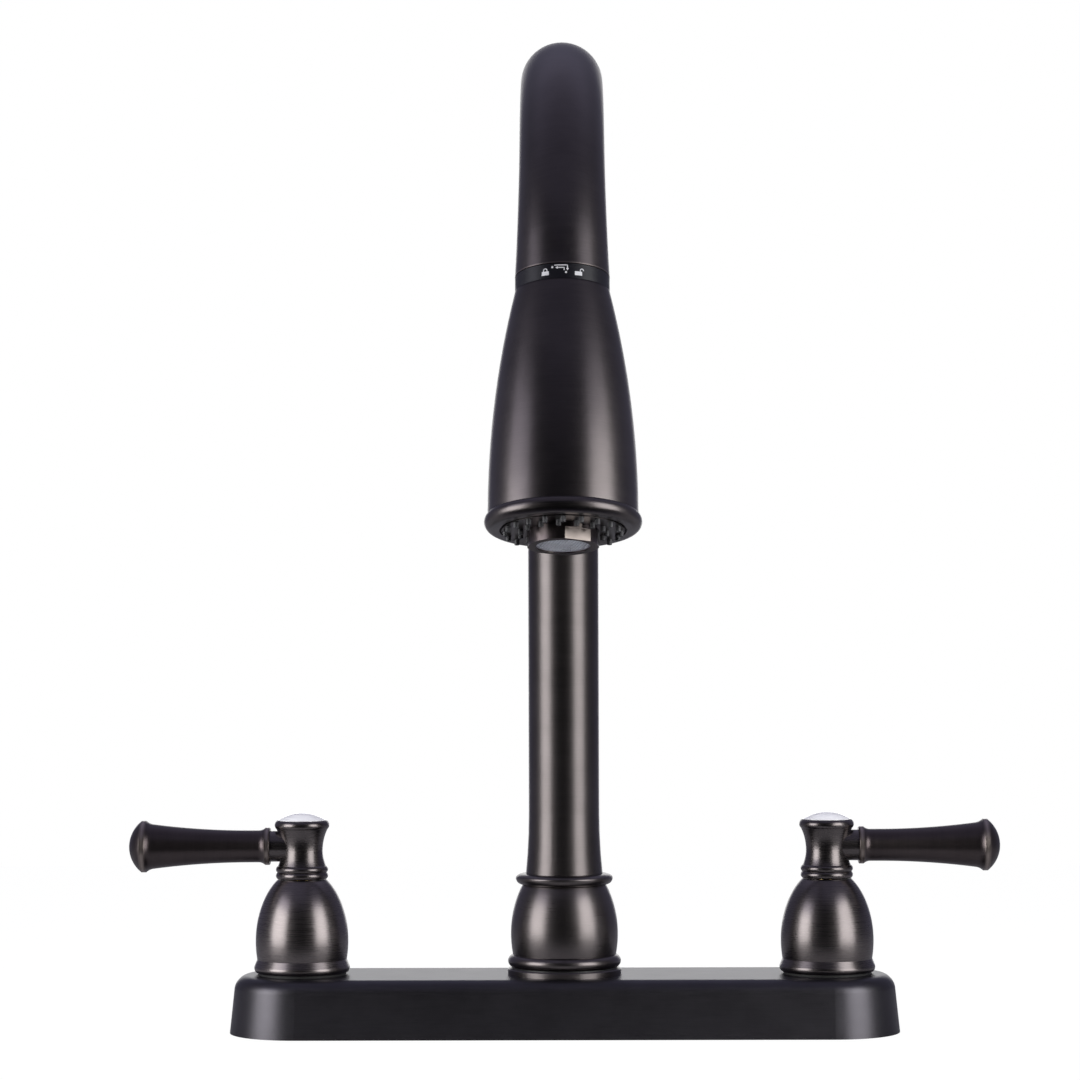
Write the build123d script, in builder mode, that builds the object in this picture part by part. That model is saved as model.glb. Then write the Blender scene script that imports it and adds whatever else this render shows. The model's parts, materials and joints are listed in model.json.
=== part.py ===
from build123d import *
import os
from math import asin, atan2, cos, degrees, radians, sin, sqrt

os.makedirs("parts", exist_ok=True)

# Two handle kitchen faucet with a pull-down spray head, in millimetres and degrees.
# Origin: on the deck, on the axis of the spout post. +Z up, +X to the right, -Y towards the user.

# ---------------------------------------------------------------- clearances
running_fit = 0.05  # radial play of a shaft in its bore
slip_fit = 0.05  # radial play of a piece fitted once and left
moving_gap = 0.3  # between pieces that move past each other
hole_play = 0.5  # radial play of a hole that a piece only passes through

# ---------------------------------------------------------------- deck plate
valve_spacing = 203.2  # 8 in between the two valves
plate_overhang = 27.6  # plate end beyond the valve axis
plate_depth = 58.5
plate_height = 22.0
plate_corner_r = 27.0
plate_draft = 6.0
plate_edge_r = 5.5
plate_wall = 2.5
gasket_thickness = 2.0
gasket_play = 0.4

# ---------------------------------------------------------------- valves under the handles
shank_r = 10.4  # 1/2 in pipe thread, plain cylinder
shank_length = 60.0  # below the deck
supply_thread_length = 15.0  # for the supply hose, below the lock nut
relief_height = 1.5
relief_depth = 0.8
inlet_bore_r = 4.5
cartridge_bore_r = 9.5
stub_wall = 1.5  # the stub passes up through the plate and takes the bonnet nut
stub_rise = 8.0
valve_block_wall = 3.5
seat_z = 5.5  # floor of the cartridge bore
seal_thickness = 1.5
deck_thickness = 30.0  # countertop held between plate and washers
washer_rim = 11.6
washer_thickness = 1.6
lock_nut_wall = 5.6
lock_nut_height = 11.0

# ---------------------------------------------------------------- cartridge
sleeve_waterway = 0.9  # water runs round the foot of the sleeve to the side port
sleeve_foot_wall = 1.6
sleeve_seal_z = 17.0
sleeve_flange_height = 2.0
sleeve_neck_wall = 3.45
sleeve_neck_rise = 32.0  # neck top above the deck plate
sleeve_ring_depth = 0.9
sleeve_ring_height = 2.0
disc_chamber_depth = 13.0
fixed_disc_thickness = 2.6
moving_disc_thickness = 2.6
disc_port_inner_r = 2.0
disc_port_rim = 1.6
disc_port_angle = 70.0
disc_face_gap = 0.05
window_width = 6.0
window_height = 3.5
stem_r = 4.0
stem_foot_height = 3.0
spline_count = 12
spline_r = 0.35
spline_length = 7.0
bonnet_wall = 1.5
bonnet_skirt = 6.0
bonnet_cap = 4.0

# ---------------------------------------------------------------- bells
bell_gasket_thickness = 1.0
bell_gasket_setback = 1.4
bell_foot_flare = 0.53  # foot beyond the belly
bell_foot_height = 4.9
bell_foot_edge = 1.2
bell_foot_tuck = 0.1
bell_room = 1.84  # between the corners of the bonnet nut and the bell
bell_belly_rise = 11.9  # widest point above the foot of the bell
bell_height = 35.6
bell_wall = 1.6
bell_neck_wall = 1.93
bell_thread_depth = 6.0

# ---------------------------------------------------------------- lever handles
bead_height = 2.5
bead_crest = 0.65  # beads beyond the top of the bell
bead_groove = 0.12
hub_neck_setback = 0.18
hub_waist_r = 8.0
hub_waist_rise = 11.1  # above the foot of the hub
hub_lip_start_r = 9.9
hub_lip_start_rise = 19.2
hub_lip_r = 10.57
hub_lip_rise = 20.8
hub_rim_r = 9.6
hub_height = 22.5
lever_rise = 12.5  # lever axis above the foot of the hub
boss_r = 5.93
boss_reach = 12.3  # from the valve axis
lever_collar_r = 7.19
lever_collar_width = 1.9
lever_collar_edge = 0.3
lever_neck_r = 6.16
lever_neck_reach = 16.7
lever_straight_reach = 20.0
lever_flare_r = 8.6
lever_flare_reach = 57.6
lever_flare_slope = 0.13
lever_ring_r = 9.96
lever_ring_reach = 60.4
lever_ring_width = 1.7
lever_reach = 67.0
stud_r = 2.5
stud_length = 22.0
stud_start = 5.6
dome_rim = 0.25  # metal rim round the dome
dome_edge = 0.8
dome_height = 3.6
dome_seat_depth = 0.6
dome_plug_r = 6.0
dome_plug_length = 2.2
screw_r = 2.0
screw_head_r = 3.6
screw_head_height = 2.6
screw_length = 17.0
stem_engagement = 8.7  # stem inside the hub

# ---------------------------------------------------------------- waterways under the plate
port_z = 10.5
port_boss_wall = 1.5
port_boss_reach = 9.0  # beyond the wall of the body it stands on
tube_r = 4.76  # 3/8 in copper tube
tube_wall = 0.9
socket_depth = 7.0
mixing_wall = 1.6
mixing_inner_wall = 2.6
mixing_cavity_width = 2.2
mixing_base_z = 2.4
mixing_cavity_low_z = 6.0
mixing_cavity_high_z = 14.5
outlet_r = 4.5
outlet_wall = 1.2
outlet_boss_wall = 1.65
outlet_clearance = 0.6  # between the outlet nipple and the guide tube
outlet_top_z = 9.0
outlet_length = 52.0  # below the deck
outlet_groove_depth = 0.7
centre_hole_margin = 0.9
guide_tube_wall = 0.9
guide_tube_length = 45.0
guide_socket_z = 5.0

# ---------------------------------------------------------------- spout
spout_r = 13.65
spout_wall = 1.5
flare_width = 1.2  # tube where it stands on the hub
flare_top_z = 84.0
arch_start_z = 258.4
arch_r = 92.0
arch_sweep = 167.3  # the head leans 12.7 degrees from plumb
swell_start = 40.0  # the bend thickens from this angle on
swell_end = 85.0
bend_swell = 0.75
end_flare_start = 140.0  # and more from here to its end
growth_steps = 16
spout_end_flare = 0.4
spout_end_length = 8.1

# ---------------------------------------------------------------- spout post and hub
post_play = 1.0  # between post and tube, taken up by the bushings
post_socket_z = 15.5
post_top_z = 78.0
base_ring_flare = 0.1  # beyond the lower bead of the hub
base_ring_height = 2.4
base_ring_bevel = 0.4
thrust_setback = 1.55
thrust_thickness = 0.4
thrust_gap = 0.1
swivel_limit = 110.0  # each way from the centre
bushing_height = 6.0
bushing_groove_depth = 0.6
bushing_low_z = 33.0
bushing_high_z = 66.0
hub_bead_crest = 1.13  # lower bead beyond the belly of the hub
hub_bead_undercut = 1.4
hub_bead_height = 4.7
hub_egg_swell = 4.57  # belly beyond the upper crease
hub_egg_z = 37.6
hub_crease_wall = 2.45
hub_crease_z = 56.6
hub_top_bead_crest = 2.65  # beyond the upper crease
hub_top_bead_rise = 2.5  # its widest place above the crease
hub_top_bead_shoulder = 1.65
hub_top_ledge = 0.5  # flat ring round the tube
hub_ledge_z = 30.0  # the spout tube stands on this ledge
set_screw_r = 2.5
set_screw_tip_r = 1.8
set_screw_tip_length = 2.4
set_screw_z = 46.0
set_screw_depth = 1.2  # outer end below the hub's surface
stop_groove_depth = 1.0
stop_groove_play = 4.0  # degrees beyond the swivel limit
liner_flange_setback = 0.6
liner_flange_height = 1.5
liner_length = 12.0

# ---------------------------------------------------------------- hose
hose_r = 6.0
hose_wall = 2.1
hose_play = 1.6
hose_bottom_z = -62.0
hose_end_gap = 0.9  # hose to ferrule, measured on the axis
tail_fitting_wall = 3.25
tail_fitting_length = 20.0
tail_nut_wall = 1.2
tail_nut_height = 7.0

# Distances along the head's axis are measured from the end of the arch.
ferrule_wall = 1.15
ferrule_length = 18.0
ferrule_rise = 4.0  # above the neck of the collar
barb_setback = 2.0
connector_bore_r = 2.6
connector_hex_flats = 13.6
connector_hex_length = 2.3
swivel_flange_top = 15.5
swivel_flange_width = 0.8  # catches the lip of the collar
swivel_flange_thickness = 2.5
nipple_r = 5.0
nipple_length = 11.0
nipple_ring_offset = 5.0
nipple_ring_height = 2.0
nipple_ring_depth = 0.9

# ---------------------------------------------------------------- bayonet between spout and head
twist_limit = 40.0
dock_neck_play = 0.4
dock_neck_wall = 1.6
dock_neck_rise = 0.6  # above the lugs
dock_socket_rise = 1.2  # above the neck
dock_socket_wall = 0.8
dock_socket_taper = 0.7  # leaves the curve of the tube clear
lug_depth = 1.4
lug_top = -3.4
lug_height = 2.4
lug_half_angle = 14.0
lug_play_angle = 2.0
collar_setback = 0.05
collar_length = 5.0
collar_thread_wall = 0.92
collar_skirt_length = 6.6
collar_lip_play = 0.6
collar_lip_thickness = 2.7

# ---------------------------------------------------------------- spray head
shell_step = 0.07
shell_widest_r = 24.5
shell_length = 74.6
shell_wall = 1.6
shell_straight = 0.6
bezel_overhang = 1.17
bezel_bead_r = 2.8
bezel_drop = 3.7  # widest place of the bezel below that of the shell
bezel_spigot_length = 2.1
bezel_spigot_wall = 0.88
bezel_lip_width = 1.3
bezel_lip_thickness = 1.1
core_play = 0.4
core_inlet_play = 0.2
core_inlet_length = 5.7
core_stem_r = 11.5
core_stem_cone = 2.5
core_flare_length = 16.0
core_bore_r = 4.0
chamber_depth = 6.6
chamber_roof = 4.0
chamber_wall = 1.5
spool_chamber_length = 28.6
spray_port_r = 1.3
spray_port_count = 4
spray_port_drop = 2.0
check_valve_length = 9.0
check_valve_wall = 1.3
check_valve_rib = 1.2
check_valve_poppet_r = 2.0
pad_thickness = 1.2
pad_inner_play = 0.75
face_flange_thickness = 1.2
face_groove = 0.7  # between the face plate and the bezel
face_proud = 0.2  # beyond the bezel
nozzle_root_r = 0.95
nozzle_tip_r = 0.8
nozzle_reach = 1.7  # beyond the face plate
nozzle_hole_r = 0.35
nozzle_play = 0.1
outer_nozzles = 20
outer_nozzle_margin = 1.25
inner_nozzles = 15
inner_nozzle_margin = 2.75

# ---------------------------------------------------------------- sliding outlet
outlet_travel = 3.0  # pulled down for spray
barrel_r = 11.35
barrel_reach = 5.2  # beyond the face plate
barrel_wall = 1.8
barrel_lip_width = 0.6
barrel_lip_thickness = 0.7
barrel_roof = 1.45
flat_half_angle = 24.0
flat_length = 3.9
flat_angle = 63.0  # towards the user and a little to the right
spool_wall = 3.9
spool_setback = 2.95
spool_clearance = 2.0
spool_waist_depth = 1.6
spool_waist_length = 4.0
spool_ring_drop = 8.0
spool_ring_height = 2.0
spool_ring_depth = 1.0
aerator_plate = 1.2
aerator_wall = 1.0
screen_thickness = 0.4
screen_hole_r = 0.45
screen_rings = 4

# ---------------------------------------------------------------- derived sizes, deck and valves
valve_x = valve_spacing / 2
both_sides = (-valve_x, valve_x)
plate_length = valve_spacing + 2 * plate_overhang
deck_top = plate_height
plate_inside_z = plate_height - plate_wall
gasket_inset = plate_wall + gasket_play

stub_r = cartridge_bore_r + stub_wall
valve_block_r = cartridge_bore_r + valve_block_wall
stub_top = deck_top + stub_rise
cartridge_z = seat_z + seal_thickness
sleeve_foot_r = cartridge_bore_r - sleeve_waterway
sleeve_flange_r = stub_r - moving_gap
sleeve_neck_r = stem_r + running_fit + sleeve_neck_wall
sleeve_top = deck_top + sleeve_neck_rise
sleeve_groove_z = stub_top - 3 * sleeve_ring_height
disc_chamber_r = sleeve_foot_r - sleeve_foot_wall
disc_port_outer_r = disc_chamber_r - disc_port_rim
moving_disc_z = cartridge_z + fixed_disc_thickness + disc_face_gap
stem_foot_z = moving_disc_z + moving_disc_thickness
nut_shoulder_z = stub_top + sleeve_flange_height
bonnet_flats = 2 * (stub_r + bonnet_wall)
lock_nut_flats = 2 * (shank_r + lock_nut_wall)
washer_r = shank_r + washer_rim
lock_nut_z = -deck_thickness - washer_thickness - lock_nut_height

bell_z = deck_top + bell_gasket_thickness
bell_top = bell_z + bell_height
bell_belly_z = bell_z + bell_belly_rise
bell_crease_z = bell_z + bell_foot_height
bell_belly_r = bonnet_flats / 2 / cos(radians(30)) + bell_room + bell_wall
bell_foot_r = bell_belly_r + bell_foot_flare
bell_gasket_r = bell_foot_r - bell_gasket_setback
bell_top_r = sleeve_neck_r + bell_neck_wall
bell_half_height = (bell_top - bell_belly_z) / sqrt(1 - (bell_top_r / bell_belly_r) ** 2)
bell_roof_z = sleeve_top - bell_thread_depth

handle_z = bell_top + moving_gap
bead_r = bell_top_r + bead_crest
bead_groove_r = bell_top_r + bead_groove
hub_neck_r = bell_top_r - hub_neck_setback
hub_top = handle_z + hub_height
lever_z = handle_z + lever_rise
stem_top = handle_z + stem_engagement
dome_r = hub_rim_r - dome_rim - slip_fit
dome_z = hub_top - dome_seat_depth
screw_seat_z = dome_z - dome_plug_length - screw_head_height - moving_gap
screw_tip_z = screw_seat_z - screw_length

# ---------------------------------------------------------------- derived sizes, centre
hose_inner_r = hose_r - hose_wall
hose_bore_r = hose_r + hose_play
hose_clear_r = hose_r + moving_gap
guide_tube_r = hose_bore_r + guide_tube_wall
outlet_y = guide_tube_r + outlet_clearance + outlet_r  # mixed water leaves behind the hose
outlet_boss_r = outlet_r + slip_fit + outlet_boss_wall
centre_hole_r = outlet_y + outlet_r + centre_hole_margin
port_boss_r = tube_r + slip_fit + port_boss_wall
mixing_cavity_inner_r = hose_bore_r + mixing_inner_wall
mixing_cavity_outer_r = mixing_cavity_inner_r + mixing_cavity_width
mixing_body_r = mixing_cavity_outer_r + mixing_wall
mixing_port_x = mixing_body_r + port_boss_reach
tube_start_x = mixing_port_x - socket_depth
valve_port_x = valve_x - valve_block_r - port_boss_reach
tube_end_x = valve_port_x + socket_depth

spout_bore_r = spout_r - spout_wall
flare_r = spout_r + flare_width
post_r = spout_bore_r - post_play
groove_floor_r = post_r - bushing_groove_depth
stop_floor_r = post_r - stop_groove_depth
hub_crease_r = spout_r + hub_crease_wall
hub_egg_r = hub_crease_r + hub_egg_swell
hub_egg_half_height = (hub_crease_z - hub_egg_z) / sqrt(1 - (hub_crease_r / hub_egg_r) ** 2)
hub_bead_r = hub_egg_r + hub_bead_crest
hub_bead_foot_r = hub_bead_r - hub_bead_undercut
hub_top_bead_r = hub_crease_r + hub_top_bead_crest
hub_top_bead_z = hub_crease_z + hub_top_bead_rise
hub_top_z = hub_top_bead_z + hub_top_bead_shoulder
hub_top_ledge_r = flare_r + hub_top_ledge
base_ring_r = hub_bead_r + base_ring_flare
base_ring_top = deck_top + base_ring_height
thrust_r = base_ring_r - thrust_setback
spout_hub_z = base_ring_top + thrust_thickness + thrust_gap

# ---------------------------------------------------------------- derived sizes, spray head
# From the hose outwards: ferrule, collar, lugs, socket, spout.
ferrule_r = hose_r + slip_fit + ferrule_wall
collar_lip_r = ferrule_r + collar_lip_play
swivel_flange_r = collar_lip_r + swivel_flange_width
dock_neck_bore_r = swivel_flange_r + dock_neck_play
dock_neck_r = dock_neck_bore_r + dock_neck_wall
lug_r = dock_neck_r + lug_depth
slot_r = lug_r + moving_gap
slot_half_angle = lug_half_angle + lug_play_angle
socket_top_r = slot_r + dock_socket_wall
arch_end_r = socket_top_r + dock_socket_taper + spout_wall
spout_end_r = arch_end_r + spout_end_flare
socket_end_r = spout_end_r - spout_wall - moving_gap

dock_neck_top = lug_top - dock_neck_rise
dock_socket_top = dock_neck_top - dock_socket_rise
ferrule_top = dock_neck_top - ferrule_rise
ferrule_end = ferrule_top + ferrule_length
barb_top = ferrule_top + barb_setback
swivel_flange_end = swivel_flange_top + swivel_flange_thickness
nipple_end = swivel_flange_end + nipple_length
ring_groove_top = swivel_flange_end + nipple_ring_offset
collar_lip_end = swivel_flange_top - moving_gap
collar_lip_top = collar_lip_end - collar_lip_thickness
hose_sweep = arch_sweep - degrees((hose_end_gap - ferrule_top) / arch_r)
tail_r = outlet_r + tail_fitting_wall

collar_r = spout_end_r - collar_setback
collar_top = spout_end_length + moving_gap
collar_end = collar_top + collar_length
shell_top_r = collar_r + shell_step
collar_skirt_r = shell_top_r - shell_wall - collar_thread_wall
shell_widest = collar_end + shell_length
shell_lower_end = shell_widest + shell_straight
bezel_r = shell_widest_r + bezel_overhang
bezel_centre_r = bezel_r - bezel_bead_r
bezel_widest = shell_widest + bezel_drop
bezel_end = bezel_widest + bezel_bead_r
bezel_shoulder = bezel_widest - sqrt(bezel_bead_r**2 - (shell_widest_r - bezel_centre_r) ** 2)
spigot_r = shell_widest_r - shell_wall - slip_fit
bezel_bore_r = spigot_r - bezel_spigot_wall
bezel_lip_r = bezel_bore_r - bezel_lip_width
bezel_lip_top = bezel_end - bezel_lip_thickness
pad_end = bezel_lip_top - face_flange_thickness
core_end = pad_end - pad_thickness
core_top = swivel_flange_end + moving_gap
core_inlet_r = dock_neck_bore_r - core_inlet_play
core_stem_top = core_top + core_inlet_length + core_stem_cone
core_skirt_r = bezel_bore_r - core_play
chamber_top = core_end - chamber_depth
chamber_outer_r = core_skirt_r - chamber_wall
chamber_inner_r = barrel_r + chamber_wall
core_skirt_top = chamber_top - chamber_roof
core_stem_end = core_skirt_top - core_flare_length
spool_chamber_top = core_end - spool_chamber_length
spray_port_station = chamber_top + spray_port_drop
pad_inner_r = barrel_r + pad_inner_play
face_r = bezel_lip_r - face_groove
face_front = bezel_end + face_proud
nozzle_tip = face_front + nozzle_reach
nozzle_taper = degrees(atan2(nozzle_root_r - nozzle_tip_r, nozzle_tip - pad_end))
nozzle_circles = (
    (face_r - outer_nozzle_margin, outer_nozzles),
    (barrel_r + inner_nozzle_margin, inner_nozzles),
)

barrel_top = core_end + moving_gap
barrel_end = face_front + barrel_reach
barrel_bore_r = barrel_r - barrel_wall
barrel_lip_r = barrel_bore_r - barrel_lip_width
flat_distance = barrel_r * cos(radians(flat_half_angle))
flat_top = barrel_end - flat_length
spool_r = barrel_r - spool_setback
spool_bore_r = spool_r - spool_wall
spool_waist_r = spool_r - spool_waist_depth
spool_top = spool_chamber_top + spool_clearance
spool_seat = barrel_top + barrel_roof
spool_ring_top = spool_top + spool_ring_drop
spool_waist_end = spray_port_station + spray_port_r - outlet_travel
spool_waist_top = spool_waist_end - spool_waist_length
screen_top = barrel_end - barrel_lip_thickness - screen_thickness

head_tilt = 180 - arch_sweep
head_dir = Vector(0, -sin(radians(head_tilt)), -cos(radians(head_tilt)))
arch_end = Vector(
    0,
    -arch_r * (1 - cos(radians(arch_sweep))),
    arch_start_z + arch_r * sin(radians(arch_sweep)),
)
head_axis = Axis(arch_end, head_dir)


# ---------------------------------------------------------------- helpers
def level(z, x=0.0, y=0.0):
    """Horizontal plane at height z."""
    return Plane(origin=(x, y, z))


def station(t):
    """Plane square to the head's axis, t below the end of the arch."""
    return Plane(origin=arch_end + head_dir * t, x_dir=(1, 0, 0), z_dir=head_dir)


def arch_section(angle):
    """Plane square to the arch, at an angle from its start."""
    turn = radians(angle)
    middle = (0, -arch_r * (1 - cos(turn)), arch_start_z + arch_r * sin(turn))
    return Plane(origin=middle, x_dir=(1, 0, 0), z_dir=(0, -sin(turn), cos(turn)))


def upright_profile(x=0.0):
    """Plane of a turned outline: local x is the radius, local y is the height."""
    return Plane(origin=(x, 0, 0), x_dir=(1, 0, 0), z_dir=(0, -1, 0))


def upright_axis(x=0.0):
    return Axis((x, 0, 0), (0, 0, 1))


def lever_section(side, reach):
    """Plane square to a lever, at a distance from the valve axis."""
    middle = (side * (valve_x + reach), 0, lever_z)
    return Plane(origin=middle, x_dir=(0, 1, 0), z_dir=(side, 0, 0))


# Local x is the radius, local y is the distance along the head's axis.
head_profile = Plane(
    origin=arch_end,
    x_dir=(1, 0, 0),
    z_dir=(0, cos(radians(head_tilt)), -sin(radians(head_tilt))),
)


def outward(t, angle):
    """Plane on the head's axis whose normal points away from the axis."""
    across = station(t)
    normal = across.x_dir * cos(radians(angle)) + across.y_dir * sin(radians(angle))
    return Plane(origin=across.origin, x_dir=head_dir, z_dir=normal)


def disc(plane, outer_r, inner_r=0.0):
    """Round sketch, with a hole if an inner radius is given."""
    with BuildSketch(plane) as sketch:
        Circle(outer_r)
        if inner_r > 0:
            Circle(inner_r, mode=Mode.SUBTRACT)
    return sketch.sketch


def sector(plane, inner_r, outer_r, start, end):
    """Sketch of a piece of a ring between two angles."""
    with BuildSketch(plane) as sketch:
        with BuildLine():
            outer = CenterArc((0, 0), outer_r, start, end - start)
            inner = CenterArc((0, 0), inner_r, start, end - start)
            Line(outer @ 0, inner @ 0)
            Line(outer @ 1, inner @ 1)
        make_face()
    return sketch.sketch


def hexagon(plane, across_flats, inner_r=0.0):
    """Six-sided sketch with a round hole."""
    with BuildSketch(plane) as sketch:
        RegularPolygon(across_flats / 2, 6, major_radius=False)
        if inner_r > 0:
            Circle(inner_r, mode=Mode.SUBTRACT)
    return sketch.sketch


def egg_r(height, widest_r, half_height):
    """Radius of an egg-shaped body at a height from its widest place."""
    return widest_r * sqrt(1 - (height / half_height) ** 2)


def arch_tube_r(angle):
    """Outer radius of the spout at an angle of the arch."""
    swell = min(max((angle - swell_start) / (swell_end - swell_start), 0.0), 1.0)
    flare = max((angle - end_flare_start) / (arch_sweep - end_flare_start), 0.0)
    even_r = spout_r + bend_swell * swell**2 * (3 - 2 * swell)
    return even_r + (arch_end_r - spout_r - bend_swell) * flare**2


# ================================================================ deck
with BuildPart() as deck_plate:
    with BuildSketch():
        RectangleRounded(plate_length, plate_depth, plate_corner_r)
    extrude(amount=plate_height, taper=plate_draft)
    fillet(deck_plate.faces().sort_by(Axis.Z)[-1].edges(), radius=plate_edge_r)
    offset(amount=-plate_wall, openings=deck_plate.faces().sort_by(Axis.Z)[0])
    with BuildSketch(level(0)):
        Circle(post_r + hole_play)
        with Locations((-valve_x, 0), (valve_x, 0)):
            Circle(stub_r + hole_play)
    extrude(amount=2 * plate_height, mode=Mode.SUBTRACT)
deck_plate.part.label = "deck_plate"
export_step(deck_plate.part, "parts/deck_plate.step")

with BuildPart() as deck_gasket:
    with BuildSketch():
        RectangleRounded(
            plate_length - 2 * gasket_inset,
            plate_depth - 2 * gasket_inset,
            plate_corner_r - gasket_inset,
        )
        Circle(centre_hole_r, mode=Mode.SUBTRACT)
        with Locations((-valve_x, 0), (valve_x, 0)):
            Circle(shank_r + hole_play, mode=Mode.SUBTRACT)
    extrude(amount=gasket_thickness)
deck_gasket.part.label = "deck_gasket"
export_step(deck_gasket.part, "parts/deck_gasket.step")

# ================================================================ centre of the deck
# The mixing body gathers hot and cold water round the hose and sends it down the outlet.
with BuildPart() as mixing_body:
    extrude(disc(level(mixing_base_z), mixing_body_r), amount=plate_inside_z - mixing_base_z)
    extrude(
        disc(level(mixing_base_z, y=outlet_y), outlet_boss_r),
        amount=outlet_top_z + outlet_wall - mixing_base_z,
    )
    with BuildSketch(Plane.YZ.offset(-mixing_port_x)):
        with Locations((0, port_z)):
            Circle(port_boss_r)
    extrude(amount=2 * mixing_port_x)
    extrude(disc(level(mixing_base_z), hose_bore_r), amount=plate_height, mode=Mode.SUBTRACT)
    extrude(
        disc(level(mixing_base_z), guide_tube_r + slip_fit),
        amount=guide_socket_z - mixing_base_z,
        mode=Mode.SUBTRACT,
    )
    extrude(
        disc(level(post_socket_z), post_r + slip_fit),
        amount=plate_height,
        mode=Mode.SUBTRACT,
    )
    extrude(
        disc(level(mixing_cavity_low_z), mixing_cavity_outer_r, mixing_cavity_inner_r),
        amount=mixing_cavity_high_z - mixing_cavity_low_z,
        mode=Mode.SUBTRACT,
    )
    extrude(
        disc(level(mixing_base_z, y=outlet_y), outlet_r + slip_fit),
        amount=outlet_top_z - mixing_base_z,
        mode=Mode.SUBTRACT,
    )
    for side in (-1, 1):
        with BuildSketch(Plane.YZ.offset(side * mixing_cavity_inner_r)):
            with Locations((0, port_z)):
                Circle(tube_r - tube_wall)
        extrude(amount=side * (mixing_port_x - mixing_cavity_inner_r), mode=Mode.SUBTRACT)
        with BuildSketch(Plane.YZ.offset(side * tube_start_x)):
            with Locations((0, port_z)):
                Circle(tube_r + slip_fit)
        extrude(amount=side * socket_depth, mode=Mode.SUBTRACT)
mixing_body.part.label = "mixing_body"
export_step(mixing_body.part, "parts/mixing_body.step")

with BuildPart() as outlet_nipple:
    extrude(
        disc(level(-outlet_length, y=outlet_y), outlet_r, outlet_r - outlet_wall),
        amount=outlet_length + outlet_top_z,
    )
    with BuildSketch(level(-outlet_length + outlet_r, y=outlet_y)):
        Circle(outlet_r + hole_play)
        Circle(outlet_r - outlet_groove_depth, mode=Mode.SUBTRACT)
    extrude(amount=outlet_r / 2, mode=Mode.SUBTRACT)
outlet_nipple.part.label = "outlet_nipple"
export_step(outlet_nipple.part, "parts/outlet_nipple.step")

# The lower end of the guide tube closes in on the hose, with a rounded mouth.
with BuildPart() as hose_guide_tube:
    extrude(
        disc(level(-guide_tube_length), guide_tube_r, hose_clear_r),
        amount=guide_tube_length + guide_socket_z,
    )
    extrude(
        disc(level(-guide_tube_length + hose_bore_r), hose_bore_r),
        amount=guide_tube_length + guide_socket_z,
        mode=Mode.SUBTRACT,
    )
    fillet(
        hose_guide_tube.faces().sort_by(Axis.Z)[0].edges().sort_by(SortBy.RADIUS)[0],
        radius=(guide_tube_r - hose_clear_r) / 2,
    )
hose_guide_tube.part.label = "hose_guide_tube"
export_step(hose_guide_tube.part, "parts/hose_guide_tube.step")

# The post carries the spout on two bushings. A groove behind it stops the set screw at both
# ends of the swing.
set_screw_angle = degrees(asin(set_screw_tip_r / stop_floor_r))
groove_half_angle = swivel_limit + set_screw_angle + stop_groove_play
with BuildPart() as spout_post:
    extrude(disc(level(post_socket_z), post_r, hose_bore_r), amount=post_top_z - post_socket_z)
    for low_z in (bushing_low_z, bushing_high_z):
        extrude(
            disc(level(low_z), post_r + hole_play, groove_floor_r),
            amount=bushing_height,
            mode=Mode.SUBTRACT,
        )
    extrude(
        sector(
            level(set_screw_z - set_screw_tip_r - moving_gap),
            stop_floor_r,
            post_r + hole_play,
            90 - groove_half_angle,
            90 + groove_half_angle,
        ),
        amount=2 * (set_screw_tip_r + moving_gap),
        mode=Mode.SUBTRACT,
    )
spout_post.part.label = "spout_post"
export_step(spout_post.part, "parts/spout_post.step")

with BuildPart() as swivel_bushings:
    for low_z in (bushing_low_z, bushing_high_z):
        extrude(
            disc(level(low_z), spout_bore_r - running_fit, groove_floor_r + slip_fit),
            amount=bushing_height,
        )
swivel_bushings.part.label = "swivel_bushings"
export_step(swivel_bushings.part, "parts/swivel_bushings.step")

with BuildPart() as hose_liner:
    liner_r = hose_bore_r - slip_fit
    extrude(
        disc(level(post_top_z - liner_length), liner_r, hose_clear_r),
        amount=liner_length,
    )
    extrude(
        disc(level(post_top_z), post_r - liner_flange_setback, hose_clear_r),
        amount=liner_flange_height,
    )
    top_edges = hose_liner.faces().sort_by(Axis.Z)[-1].edges()
    fillet(top_edges, radius=liner_flange_height / 3)
hose_liner.part.label = "hose_liner"
export_step(hose_liner.part, "parts/hose_liner.step")

with BuildPart() as spout_base_ring:
    extrude(disc(level(deck_top), base_ring_r, post_r + slip_fit), amount=base_ring_height)
    chamfer(
        spout_base_ring.faces().sort_by(Axis.Z)[-1].edges().sort_by(SortBy.RADIUS)[-1],
        length=base_ring_bevel,
    )
spout_base_ring.part.label = "spout_base_ring"
export_step(spout_base_ring.part, "parts/spout_base_ring.step")

with BuildPart() as thrust_washer:
    extrude(disc(level(base_ring_top), thrust_r, post_r + slip_fit), amount=thrust_thickness)
thrust_washer.part.label = "thrust_washer"
export_step(thrust_washer.part, "parts/thrust_washer.step")

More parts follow.
